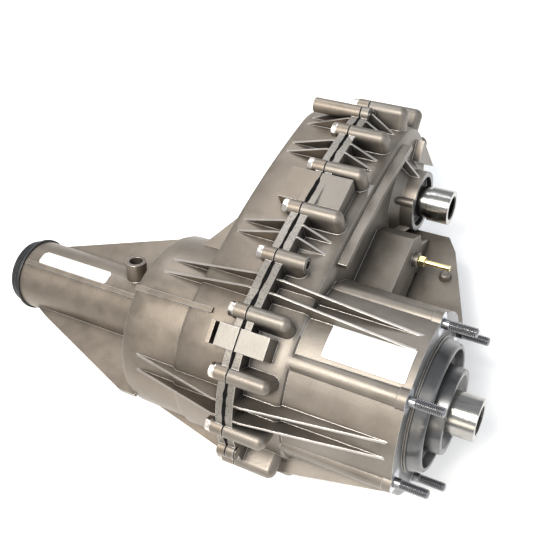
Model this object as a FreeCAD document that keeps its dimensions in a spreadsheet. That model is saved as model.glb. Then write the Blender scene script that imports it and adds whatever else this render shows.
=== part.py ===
import FreeCAD, Part
import Sketcher
import math
import os

# Two-piece chain-drive transfer case, millimetres and degrees.
# X runs forward along the main shaft and Y towards the front output shaft.
# Z is up. The origin is the centre of the input mounting face.

SIZES = {
    # lengths of the castings along the main shaft
    "front_half_length": 176.0,
    "drum_length": 152.0,
    "tail_length": 203.0,
    # chain drive, which also sets the distance between the two shafts
    "chain_pitch": 12.7,
    "chain_links": 64,
    "sprocket_teeth": 25,
    "chain_width": 32.0,
    "chain_band": 9.0,
    "chain_clearance": 0.3,
    # bolted flange between the two halves
    "main_bolt_radius": 127.0,
    "front_bolt_radius": 103.0,
    "side_curve_radius": 900.0,
    "flange_margin": 3.0,
    "flange_thickness": 10.0,
    "wall_inset": 21.0,
    "wall": 6.0,
    "sealant_thickness": 1.6,
    "sealant_inset": 1.0,
    "boss_radius": 9.0,
    "front_boss_length": 48.0,
    "short_boss_length": 35.0,
    "short_boss_step": 3.0,
    "rear_boss_length": 15.0,
    "case_bolt_radius": 5.0,
    "case_bolt_clearance": 0.3,
    "case_bolt_grip": 38.0,
    "bolt_head_width": 15.0,
    "bolt_head_height": 7.0,
    "main_bolt_start": 96.8,
    "main_bolt_step": 29.8,
    "side_bolt_start": 55.0,
    "side_bolt_pitch": 64.0,
    "lower_bolt_start": 76.0,
    "front_bolt_start": 56.6,
    "front_bolt_step": 34.0,
    "dowel_radius": 6.0,
    "dowel_length": 22.0,
    # front half
    "front_cover_depth": 54.0,
    "shoulder": 7.0,
    "tower_radius_front": 102.0,
    "tower_radius_rear": 104.0,
    "tower_bore_radius": 86.0,
    "face_plate": 10.0,
    "pilot_radius": 77.0,
    "pilot_height": 3.0,
    "stud_circle_radius": 97.0,
    "stud_angle": 51.9,
    "stud_count": 6,
    "stud_radius": 5.0,
    "stud_root_radius": 5.5,
    "stud_length": 37.0,
    "stud_depth": 22.0,
    "stud_clearance": 0.05,
    "stud_lobe_radius": 12.0,
    "stud_column_radius": 11.0,
    # front output tower
    "output_boss_radius": 37.0,
    "output_boss_length": 27.0,
    "output_recess": 7.0,
    "output_shaft_radius": 21.0,
    "output_stub_length": 37.0,
    "output_bore_radius": 15.0,
    "output_bearing_radius": 31.0,
    "output_bearing_width": 16.0,
    "output_journal_radius": 17.5,
    # rear half
    "rear_cover_depth": 80.0,
    "drum_radius_rear": 104.5,
    "drum_radius_front": 106.5,
    "drum_edge": 8.0,
    "tail_radius": 44.0,
    "tail_ring_radius": 51.0,
    "tail_ring_length": 14.0,
    "tail_bore_radius": 36.0,
    "web_thickness": 7.0,
    "web_reach_out": 115.0,
    "web_reach_in": 107.0,
    "spine_radius": 49.0,
    "spine_width": 6.0,
    "spine_angle": 99.0,
    "spine_height": 4.0,
    "sensor_station": 48.0,
    "sensor_angle": 60.0,
    "sensor_boss_radius": 12.5,
    "sensor_hole_radius": 8.5,
    "sensor_boss_top": 66.0,
    # cast gussets that stiffen the flange
    "rib_width": 3.0,
    "rib_root": 1.5,
    "drum_rib_length": 126.0,
    "front_side_rib_length": 32.0,
    "rear_side_rib_length": 62.0,
    "fin_spread": 4.2,
    "fin_upper_shift": -1.6,
    "fin_upper_tilt": 8.0,
    "fin_lower_shift": 2.8,
    "fin_lower_tilt": 1.0,
    "side_fin_shift": 3.5,
    "side_fin_spread": 8.0,
    "arc_fin_spread": 4.6,
    # pads, lugs and openings of the castings
    "dowel_angle": 171.0,
    "dowel_front_angle": 71.0,
    "dowel_post_length": 61.0,
    "bearing_setback": 2.0,
    "bearing_lip_radius": 42.0,
    "carrier_wall": 8.0,
    "cavity_taper": 24.0,
    "output_flare": 10.0,
    "output_rib_reach": 62.0,
    "output_ridge_radius": 5.0,
    "output_ridge_angle": 131.0,
    "cover_lip_inset": 29.0,
    "cover_lip_width": 7.0,
    "cover_lip_height": 10.0,
    "cover_lip_start": 80.0,
    "cover_lip_end": 272.0,
    "output_lip_radius": 26.0,
    "web_height": -37.0,
    "web_near_reach": 124.0,
    "web_corner_near": 42.0,
    "web_corner_far": 56.0,
    "shift_box_reach": 190.0,
    "shift_box_low": 28.0,
    "shift_box_high": 34.0,
    "shift_box_corner": 18.0,
    "output_pad_top": 72.0,
    "output_pad_turn": 32.6,
    "output_pad_inner": 46.0,
    "output_pad_foot": 88.0,
    "output_pad_foot_turn": -24.0,
    "vent_boss_height": 7.0,
    "vent_boss_radius": 9.0,
    "vent_thread_radius": 4.0,
    "lug_angle": 110.0,
    "lug_length": 34.0,
    "lug_width": 24.0,
    "lug_drop": 24.0,
    "lug_slot": 5.0,
    "lug_lip": 5.0,
    "lug_rise": 6.0,
    "pad_half_width": 21.0,
    "pad_drop": 30.0,
    "pad_rise": 2.0,
    "pad_length": 36.0,
    "hood_height": 80.0,
    "hood_reach": 132.0,
    "hood_length": 48.0,
    "web_start_out": 8.0,
    "web_start_in": 22.0,
    "web_lug": 20.0,
    "spine_stop": 48.0,
    "rear_wall_extra": 3.0,
    "tail_lip": 6.0,
    # input end
    "input_shaft_radius": 24.0,
    "input_reach": 57.0,
    "input_bore_radius": 16.0,
    "input_journal_radius": 27.5,
    "input_bearing_radius": 50.0,
    "input_bearing_width": 20.0,
    "retainer_radius": 74.0,
    "retainer_height": 15.0,
    "retainer_rim_radius": 71.0,
    "retainer_rim_width": 5.0,
    "retainer_recess": 11.0,
    "retainer_draft": 2.0,
    "retainer_nose_radius": 47.0,
    "retainer_nose_height": 27.0,
    "retainer_mouth": 41.0,
    "retainer_mouth_depth": 9.0,
    "input_seal_radius": 36.0,
    "seal_width": 9.0,
    # planetary gear set
    "gear_module": 3.2,
    "sun_teeth": 27,
    "planet_teeth": 9,
    "planet_count": 3,
    "gear_width": 28.0,
    "gear_station": 44.0,
    "gear_backlash": 0.35,
    "carrier_plate": 5.0,
    "carrier_gap": 2.0,
    "planet_pin_radius": 6.0,
    "running_clearance": 0.05,
    # main shaft and what it carries
    "mainshaft_radius": 22.0,
    "mainshaft_pilot_radius": 12.0,
    "mainshaft_tail": 60.0,
    "rear_bearing_radius": 42.0,
    "rear_bearing_width": 20.0,
    "sleeve_radius": 42.0,
    "sleeve_width": 26.0,
    "sleeve_station": 98.0,
    "tail_seal_width": 12.0,
    "tail_seal_lip": 18.0,
    "yoke_radius": 25.0,
    "tail_seal_flange": 3.0,
    "tail_seal_flange_radius": 46.5,
    "tail_seal_lip_radius": 34.0,
    "tail_bushing_station": 38.0,
    "tail_bushing_length": 24.0,
    "seal_gap": 0.3,
    "dog_radius": 28.0,
    "sprocket_hub_length": 16.0,
    "sprocket_root": 5.0,
    "mode_gap": 0.5,
    "mode_travel": 10.0,
    "groove_depth": 6.0,
    "fork_gap": 0.3,
    "fork_ring": 11.0,
    "pump_station": 84.0,
    "pump_width": 14.0,
    "pump_rotor_radius": 30.0,
    "pump_radius": 48.0,
    "tone_ring_radius": 31.0,
    "tone_ring_width": 10.0,
    "tail_shaft_radius": 20.0,
    "carrier_radius": 68.0,
    "carrier_bore_radius": 33.0,
    "carrier_post_radius": 7.0,
    "carrier_hub_radius": 35.0,
    "carrier_hub_length": 12.0,
    "neck_radius": 30.0,
    "input_bore_depth": 77.0,
    "pilot_bore_depth": 34.0,
    "output_neck_radius": 19.0,
    "output_hub_radius": 20.0,
    "output_stub_step": 26.0,
    "output_bore_depth": 32.0,
    # shift mechanism
    "rail_across": 118.0,
    "rail_height": 12.0,
    "rail_radius": 8.0,
    "fork_thickness": 7.0,
    "fork_hub_radius": 15.0,
    "sector_inset": 28.0,
    "sector_height": -8.0,
    "sector_shaft_radius": 7.0,
    "sector_cam_radius": 13.0,
    "sector_cam_length": 16.0,
    "sector_tail": 24.0,
    "shift_box_depth": 46.0,
    # fittings
    "vent_across": 163.0,
    "vent_height": 5.0,
    "vent_hex": 12.0,
    "vent_length": 38.0,
    "bolt_seat_radius": 9.2,
    "vent_tube_radius": 3.2,
    "vent_hex_length": 8.0,
    "vent_bore_radius": 1.8,
    "plug_offset": 58.0,
    "plug_thread_radius": 9.0,
    "plug_width": 19.0,
    "plug_height": 9.0,
}


class Size(object):
    """A number that remembers the sheet expression it was worked out from."""

    def __init__(self, value, text):
        self.value = float(value)
        self.text = text

    def __float__(self):
        return self.value

    def _join(self, other, sign, value):
        return Size(value, "(%s %s %s)" % (self.text, sign, text_of(other)))

    def __add__(self, other):
        return self._join(other, "+", self.value + float(other))

    def __sub__(self, other):
        return self._join(other, "-", self.value - float(other))

    def __mul__(self, other):
        return self._join(other, "*", self.value * float(other))

    def __truediv__(self, other):
        return self._join(other, "/", self.value / float(other))

    def __radd__(self, other):
        return Size(float(other) + self.value, "(%s + %s)" % (text_of(other), self.text))

    def __rsub__(self, other):
        return Size(float(other) - self.value, "(%s - %s)" % (text_of(other), self.text))

    def __rmul__(self, other):
        return Size(float(other) * self.value, "(%s * %s)" % (text_of(other), self.text))

    def __rtruediv__(self, other):
        return Size(float(other) / self.value, "(%s / %s)" % (text_of(other), self.text))

    def __neg__(self):
        return Size(-self.value, "(0 - %s)" % self.text)


def text_of(number):
    return number.text if isinstance(number, Size) else repr(float(number))


def cosine(angle):
    return Size(math.cos(math.radians(float(angle))), "cos(%s)" % text_of(angle))


def sine(angle):
    return Size(math.sin(math.radians(float(angle))), "sin(%s)" % text_of(angle))


doc = FreeCAD.newDocument("transfer_case")
sheet = doc.addObject("Spreadsheet::Sheet", "Sizes")


class Dims(object):
    pass


def fill_sheet():
    """Write the driving sizes into the sheet and hand them out as Size values."""
    dims = Dims()
    for row, (name, value) in enumerate(SIZES.items(), start=1):
        cell = "B%d" % row
        sheet.set("A%d" % row, name)
        sheet.set(cell, repr(value))
        sheet.setAlias(cell, name)
        setattr(dims, name, Size(value, "Sizes." + name))
    doc.recompute()
    return dims


d = fill_sheet()

# Stations and places that more than one piece uses
shaft_distance = (d.chain_links - d.sprocket_teeth) * d.chain_pitch / 2
parting = -d.front_half_length
front_joint = parting + d.sealant_thickness / 2
rear_joint = parting - d.sealant_thickness / 2
cover_front = parting + d.front_cover_depth
cover_rear = parting - d.rear_cover_depth
drum_end = parting - d.drum_length
tail_end = drum_end - d.tail_length
flange_main = d.main_bolt_radius + d.flange_margin
flange_front = d.front_bolt_radius + d.flange_margin
side_curve = d.side_curve_radius + d.flange_margin
pitch_radius = d.chain_pitch / 2 / sine(180 / d.sprocket_teeth)
sprocket_tip = pitch_radius - d.chain_pitch * 0.1
output_face = cover_front + d.output_boss_length
chain_front = parting + d.chain_width * 0.75
chain_rear = chain_front - d.chain_width

XZ = FreeCAD.Rotation(FreeCAD.Vector(1, 0, 0), 90)
YZ = FreeCAD.Rotation(FreeCAD.Vector(1, 1, 1), 120)
FLAT = FreeCAD.Rotation()


def axial_turn(angle):
    """Rotation about the main shaft's direction."""
    return FreeCAD.Rotation(FreeCAD.Vector(1, 0, 0), angle)


def bind(obj, prop, size):
    """Set a property, tied to the sheet where the size comes from it."""
    if isinstance(size, Size):
        obj.setExpression(prop, size.text)


def new_sketch(name, rotation, x=0, y=0, z=0):
    sketch = doc.addObject("Sketcher::SketchObject", name)
    base = FreeCAD.Vector(float(x), float(y), float(z))
    sketch.Placement = FreeCAD.Placement(base, rotation)
    for axis, size in (("x", x), ("y", y), ("z", z)):
        bind(sketch, "Placement.Base." + axis, size)
    return sketch


def tie(sketch, kind, first, position, size):
    number = sketch.addConstraint(Sketcher.Constraint(kind, -1, 1, first, position, float(size)))
    bind(sketch, "Constraints[%d]" % number, size)


def tie_radius(sketch, edge, size):
    number = sketch.addConstraint(Sketcher.Constraint("Radius", edge, float(size)))
    bind(sketch, "Constraints[%d]" % number, size)


def add_polygon(sketch, points):
    """A closed outline of straight lines whose corners are all dimensioned."""
    start = sketch.GeometryCount
    count = len(points)
    corners = [FreeCAD.Vector(float(a), float(b), 0) for a, b in points]
    for i in range(count):
        sketch.addGeometry(Part.LineSegment(corners[i], corners[(i + 1) % count]), False)
    for i in range(count):
        after = start + (i + 1) % count
        sketch.addConstraint(Sketcher.Constraint("Coincident", start + i, 2, after, 1))
    for i, (a, b) in enumerate(points):
        tie(sketch, "DistanceX", start + i, 1, a)
        tie(sketch, "DistanceY", start + i, 1, b)


def add_circle(sketch, a, b, radius):
    centre = FreeCAD.Vector(float(a), float(b), 0)
    edge = sketch.addGeometry(Part.Circle(centre, FreeCAD.Vector(0, 0, 1), float(radius)), False)
    tie(sketch, "DistanceX", edge, 3, a)
    tie(sketch, "DistanceY", edge, 3, b)
    tie_radius(sketch, edge, radius)


def extrude(name, sketch, length, symmetric=False):
    solid = doc.addObject("Part::Extrusion", name)
    solid.Base = sketch
    solid.DirMode = "Normal"
    solid.LengthFwd = float(length)
    bind(solid, "LengthFwd", length)
    solid.Solid = True
    solid.Symmetric = symmetric
    return solid


def revolve(name, points, y=0, z=0):
    """Turn an outline of (station, radius) points about a line along X."""
    sketch = new_sketch(name + "_outline", XZ, 0, y, z)
    add_polygon(sketch, points)
    solid = doc.addObject("Part::Revolution", name)
    solid.Source = sketch
    solid.Axis = FreeCAD.Vector(1, 0, 0)
    solid.Base = FreeCAD.Vector(0, float(y), float(z))
    bind(solid, "Base.y", y)
    bind(solid, "Base.z", z)
    solid.Angle = 360
    solid.Solid = True
    return solid


def ring(name, back, front, inner, outer, y=0, z=0):
    return revolve(name, [(back, inner), (front, inner), (front, outer), (back, outer)], y, z)


def rod(name, back, front, radius, y=0, z=0):
    """A round bar along X between two stations."""
    sketch = new_sketch(name + "_circle", YZ, back)
    add_circle(sketch, y, z, radius)
    return extrude(name, sketch, front - back)


def block(name, back, front, outline):
    """A prism along X with a (Y, Z) outline."""
    sketch = new_sketch(name + "_outline", YZ, back)
    add_polygon(sketch, outline)
    return extrude(name, sketch, front - back)


def plate(name, low, high, outline):
    """A prism along Z with an (X, Y) outline."""
    sketch = new_sketch(name + "_outline", FLAT, 0, 0, low)
    add_polygon(sketch, outline)
    return extrude(name, sketch, high - low)


def join(name, pieces):
    fused = doc.addObject("Part::MultiFuse", name)
    fused.Shapes = pieces
    return fused


def cut(name, base, tools):
    removed = tools[0] if len(tools) == 1 else join(name + "_removed", tools)
    result = doc.addObject("Part::Cut", name)
    result.Base = base
    result.Tool = removed
    return result


def flange_shape(name, station, inset):
    """Closed outline of the case: two end arcs joined by two flat side curves."""
    r_main = flange_main - inset
    r_front = flange_front - inset
    r_side = side_curve - inset
    reach_main = float(side_curve) - float(flange_main)
    reach_front = float(side_curve) - float(flange_front)
    distance = float(shaft_distance)
    across = (reach_main ** 2 - reach_front ** 2 + distance ** 2) / (2 * distance)
    below = math.sqrt(reach_main ** 2 - across ** 2)
    to_main = math.atan2(below, -across)
    to_front = math.atan2(below, distance - across)
    normal = FreeCAD.Vector(0, 0, 1)
    origin = FreeCAD.Vector(0, 0, 0)
    far = FreeCAD.Vector(distance, 0, 0)
    sketch = new_sketch(name, YZ, station)
    arcs = [
        (origin, r_main, to_main, 2 * math.pi - to_main),
        (FreeCAD.Vector(across, below, 0), r_side, -to_main, -to_front),
        (far, r_front, -to_front, to_front),
        (FreeCAD.Vector(across, -below, 0), r_side, to_front, to_main),
    ]
    for centre, radius, first, last in arcs:
        circle = Part.Circle(centre, normal, float(radius))
        sketch.addGeometry(Part.ArcOfCircle(circle, first, last), False)
    for i in range(4):
        sketch.addConstraint(Sketcher.Constraint("Tangent", i, 2, (i + 1) % 4, 1))
    for i, (centre, radius, first, last) in enumerate(arcs):
        tie_radius(sketch, i, radius)
    tie(sketch, "DistanceX", 0, 3, 0)
    tie(sketch, "DistanceY", 0, 3, 0)
    tie(sketch, "DistanceX", 2, 3, shaft_distance)
    tie(sketch, "DistanceY", 2, 3, 0)
    return sketch


def case_prism(name, back, front, inset):
    return extrude(name, flange_shape(name + "_outline", back, inset), front - back)


def side_height(across):
    """Height of the bolt line above the shafts' plane on the flat sides."""
    reach_main = d.side_curve_radius.value - d.main_bolt_radius.value
    reach_front = d.side_curve_radius.value - d.front_bolt_radius.value
    distance = float(shaft_distance)
    centre = (reach_main ** 2 - reach_front ** 2 + distance ** 2) / (2 * distance)
    below = math.sqrt(reach_main ** 2 - centre ** 2)
    return math.sqrt(d.side_curve_radius.value ** 2 - (across - centre) ** 2) - below


def bolt_places():
    """(Y, Z) of each case bolt, in order round the flange."""
    places = []
    for i in range(7):
        angle = d.main_bolt_start + d.main_bolt_step * i
        places.append((d.main_bolt_radius * cosine(angle), d.main_bolt_radius * sine(angle)))
    for i in range(3):
        across = d.lower_bolt_start + d.side_bolt_pitch * i
        places.append((across, -side_height(float(across))))
    for i in range(5):
        angle = d.front_bolt_start - d.front_bolt_step * (4 - i)
        turned = (d.front_bolt_radius * cosine(angle), d.front_bolt_radius * sine(angle))
        places.append((shaft_distance + turned[0], turned[1]))
    for i in range(4):
        across = d.side_bolt_start + d.side_bolt_pitch * (3 - i)
        places.append((across, side_height(float(across))))
    return places


BOLTS = bolt_places()


def rods_at(name, back, front, radius, places):
    """Equal round bars along X at several (Y, Z) places, drawn in one sketch."""
    sketch = new_sketch(name + "_circles", YZ, back)
    for y, z in places:
        add_circle(sketch, y, z, radius)
    return extrude(name, sketch, front - back)


def wedge_rib(name, station, length, foot, top, angle, rearward=False, y=0, z=0):
    """A thin cast gusset, full height at its station and running out to nothing.

    It stands on a line through (y, z) turned about X by the angle.
    """
    rib = doc.addObject("Part::Wedge", name)
    values = {
        "Xmin": 0, "Xmax": length, "Ymin": 0, "Ymax": top - foot, "Zmin": 0, "Zmax": d.rib_width,
        "X2min": 0, "X2max": length * 0.04, "Z2min": d.rib_width * 0.15, "Z2max": d.rib_width * 0.85,
    }
    for key, value in values.items():
        setattr(rib, key, float(value))
        bind(rib, key, value)
    turn = FreeCAD.Rotation(FreeCAD.Vector(0, 1, 0), 180 if rearward else 0)
    inner = FreeCAD.Placement(FreeCAD.Vector(0, float(foot), -float(d.rib_width) / 2), FLAT)
    seat = FreeCAD.Placement(FreeCAD.Vector(float(station), float(y), float(z)), axial_turn(float(angle)))
    rib.Placement = seat * FreeCAD.Placement(FreeCAD.Vector(), turn) * inner
    return rib


def boss_feet():
    """For each bolt: the angle its boss faces and the (Y, Z) point on the case wall below it."""
    feet = []
    for i, (y, z) in enumerate(BOLTS):
        if i < 7:
            angle = d.main_bolt_start + d.main_bolt_step * i
            reach = flange_main - d.wall_inset - d.rib_root
            foot = (reach * cosine(angle), reach * sine(angle))
        elif 10 <= i < 15:
            angle = d.front_bolt_start - d.front_bolt_step * (14 - i)
            reach = flange_front - d.wall_inset - d.rib_root
            foot = (shaft_distance + reach * cosine(angle), reach * sine(angle))
        else:
            sign = -1 if i < 10 else 1
            angle = Size(90 * sign, repr(90 * sign))
            foot = (y, z - (d.wall_inset + d.rib_root - d.flange_margin) * sign)
        feet.append((angle, foot))
    return feet


def boss_web(name, angle, foot, back, tip, radius, height):
    """The web under a boss: straight sides and a half-round end, standing on the wall."""
    r = float(radius)
    sketch = new_sketch(name + "_outline", axial_turn(float(angle) - 90), 0, foot[0], foot[1])
    start, end = float(back), float(tip)
    arc = Part.Circle(FreeCAD.Vector(end, 0, 0), FreeCAD.Vector(0, 0, 1), r)
    corners = [(start, -r), (end, -r), (end, r), (start, r)]
    a, b, c, e = [FreeCAD.Vector(x, y, 0) for x, y in corners]
    sketch.addGeometry(Part.LineSegment(a, b), False)
    sketch.addGeometry(Part.ArcOfCircle(arc, -math.pi / 2, math.pi / 2), False)
    sketch.addGeometry(Part.LineSegment(c, e), False)
    sketch.addGeometry(Part.LineSegment(e, a), False)
    for i in range(2):
        sketch.addConstraint(Sketcher.Constraint("Tangent", i, 2, i + 1, 1))
    for i in (2, 3):
        sketch.addConstraint(Sketcher.Constraint("Coincident", i, 2, (i + 1) % 4, 1))
    sketch.addConstraint(Sketcher.Constraint("Vertical", 3))
    tie_radius(sketch, 1, radius)
    tie(sketch, "DistanceX", 1, 3, tip)
    tie(sketch, "DistanceY", 1, 3, 0)
    tie(sketch, "DistanceX", 0, 1, back)
    return extrude(name, sketch, height)


def ball(name, station, y, z, radius):
    sphere = doc.addObject("Part::Sphere", name)
    sphere.Radius = float(radius)
    bind(sphere, "Radius", radius)
    sphere.Placement.Base = FreeCAD.Vector(float(station), float(y), float(z))
    for axis, size in (("x", station), ("y", y), ("z", z)):
        bind(sphere, "Placement.Base." + axis, size)
    return sphere


def front_bosses():
    """Round-nosed bosses that take the bolts; the last one is drilled through and cut flat."""
    tip = parting + d.front_boss_length - d.boss_radius
    last = len(BOLTS) - 1
    solids = [
        rods_at("front_bosses", front_joint, tip, d.boss_radius, BOLTS[:last]),
        rods_at("front_short_boss", front_joint, parting + d.short_boss_length, d.boss_radius, BOLTS[last:])]
    height = d.wall_inset + d.rib_root - d.flange_margin
    for i, (angle, foot) in enumerate(boss_feet()):
        end = parting + d.short_boss_length - d.boss_radius - d.short_boss_step if i == last else tip
        solids.append(boss_web("front_boss_web_%d" % (i + 1), angle, foot, front_joint, end,
                               d.boss_radius, height))
        if i != last:
            solids.append(ball("front_boss_nose_%d" % (i + 1), tip, BOLTS[i][0], BOLTS[i][1], d.boss_radius))
    return solids


def check_and_export(nodes):
    doc.recompute()
    for obj in doc.Objects:
        if "Invalid" in obj.State or "Error" in obj.State:
            raise RuntimeError("failed: %s %s" % (obj.Name, obj.State))
    os.makedirs("parts", exist_ok=True)
    for node in nodes:
        shape = node.Shape
        if shape.isNull() or not shape.isValid() or not shape.Solids:
            raise RuntimeError("bad shape: %s" % node.Label)
        shape.exportStep("parts/%s.step" % node.Label)


def fin(name, station, length, foot, top, facing, across, rearward, y=0):
    """One gusset whose plane faces an angle and stands off the shaft's centre line."""
    sideways = float(across)
    return wedge_rib(name, station, length, foot, top, facing, rearward,
                     float(y) + sideways * math.sin(math.radians(float(facing))),
                     -sideways * math.cos(math.radians(float(facing))))


def fins(name, station, length, foot, centre, tilt, rearward):
    """Two parallel gussets between neighbouring bolts of the round end."""
    made = []
    facing = centre + tilt
    rim = float(flange_main)
    for side in (-1, 1):
        across = rim * math.sin(math.radians(float(tilt) - side * float(d.fin_spread)))
        low = math.sqrt(float(foot) ** 2 - across ** 2)
        high = math.sqrt(rim ** 2 - across ** 2)
        label = "%s_%d" % (name, len(made) + 1)
        made.append(fin(label, station, length, low, high, facing, across, rearward))
    return made


def side_fins(name, station, length, rearward):
    """Pairs of short gussets between the bolts along the two long sides."""
    made = []
    for sign, gap in FIN_SIDES:
        start = d.side_bolt_start if sign > 0 else d.lower_bolt_start
        middle = start + d.side_bolt_pitch * (gap + 0.5) + d.side_fin_shift
        for side in (-1, 1):
            across = middle + d.side_fin_spread * side
            top = side_height(float(across)) + d.flange_margin
            foot = top - d.wall_inset - d.rib_root
            label = "%s_%d" % (name, len(made) + 1)
            made.append(wedge_rib(label, station, length, foot, top, 90 * sign, rearward, across))
    return made


def arc_fins(name, station, length, rearward):
    """Pairs of short gussets between the bolts round the front output."""
    made = []
    for gap in range(5):
        centre = d.front_bolt_start - d.front_bolt_step * (gap - 0.5)
        for side in (-1, 1):
            label = "%s_%d" % (name, len(made) + 1)
            made.append(wedge_rib(label, station, length, flange_front - d.wall_inset - d.rib_root,
                                  flange_front, centre + d.arc_fin_spread * side, rearward,
                                  shaft_distance))
    return made


def shoulder_loft(name, wide_station, narrow_station, inset):
    """The rounded shoulder of a cover, drawn through three outlines."""
    middle = wide_station + (narrow_station - wide_station) * 0.6
    loft = doc.addObject("Part::Loft", name)
    loft.Sections = [
        flange_shape(name + "_wide", wide_station, inset),
        flange_shape(name + "_middle", middle, inset + d.shoulder * 0.3),
        flange_shape(name + "_narrow", narrow_station, inset + d.shoulder),
    ]
    loft.Solid = True
    loft.Ruled = True
    return loft


def radial_plate(name, angle, points, width):
    """A plate in the plane through the main shaft turned to the angle."""
    sketch = new_sketch(name + "_outline", axial_turn(float(angle) - 90) * XZ)
    add_polygon(sketch, points)
    return extrude(name, sketch, width, symmetric=True)


def stud_places():
    places = []
    for i in range(int(d.stud_count.value)):
        angle = d.stud_angle + 360 / d.stud_count * i
        places.append((d.stud_circle_radius * cosine(angle), d.stud_circle_radius * sine(angle)))
    return places


STUDS = stud_places()
DOWELS = [
    (flange_main * cosine(d.dowel_angle), flange_main * sine(d.dowel_angle)),
    (shaft_distance + flange_front * cosine(d.dowel_front_angle), flange_front * sine(d.dowel_front_angle)),
]
PLUGS = [
    (shaft_distance + d.plug_offset, -d.plug_offset / 2),
    (shaft_distance - d.plug_offset * 1.4, d.plug_offset * 1.1),
]
# Gaps between bolts of the round end that carry long gussets, with their turn and tilt
FIN_GAPS = [
    (-0.5, d.fin_upper_shift, d.fin_upper_tilt), (1.5, d.fin_lower_shift, d.fin_lower_tilt),
    (3.5, d.fin_lower_shift, d.fin_lower_tilt), (5.5, d.fin_lower_shift, d.fin_lower_tilt)]
# Long sides and gaps that carry short gussets; the middle of the upper side has the pad
FIN_SIDES = [(1, 0), (1, 2), (-1, 0), (-1, 1), (-1, 2)]

# Stations on the input side
bearing_back = -d.input_bearing_width - d.bearing_setback
cavity_front = bearing_back - d.carrier_wall
gear_front = -d.gear_station
gear_rear = gear_front - d.gear_width
seal_back = output_face - d.output_recess - d.seal_width
output_bearing_back = seal_back - d.output_bearing_width
box_front = cover_front + d.shift_box_depth
output_rear_bearing_back = cover_rear + d.wall * 0.4
output_rear_bearing_front = output_rear_bearing_back + d.output_bearing_width
rear_bearing_back = drum_end + d.wall
sleeve_front = -d.sleeve_station
sleeve_back = sleeve_front - d.sleeve_width
hub_rear = chain_rear - d.sprocket_hub_length
mode_front = hub_rear - d.mode_gap
mode_back = mode_front - d.sleeve_width
sun_radius = d.gear_module * d.sun_teeth / 2
planet_radius = d.gear_module * d.planet_teeth / 2
planet_orbit = sun_radius + planet_radius
annulus_radius = planet_orbit + planet_radius
output_end = output_face + d.output_stub_length
bushing_front = tail_end + d.tail_bushing_station
sector_across = d.shift_box_reach - d.sector_inset
drum_floor = drum_end + d.wall + d.rear_bearing_width + d.rear_wall_extra


def rounded_box(name, back, front, low_y, high_y, low_z, high_z, corner):
    outline = [
        (low_y, low_z), (high_y - corner, low_z), (high_y, low_z + corner),
        (high_y, high_z - corner), (high_y - corner, high_z), (low_y, high_z),
    ]
    return block(name, back, front, outline)


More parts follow.
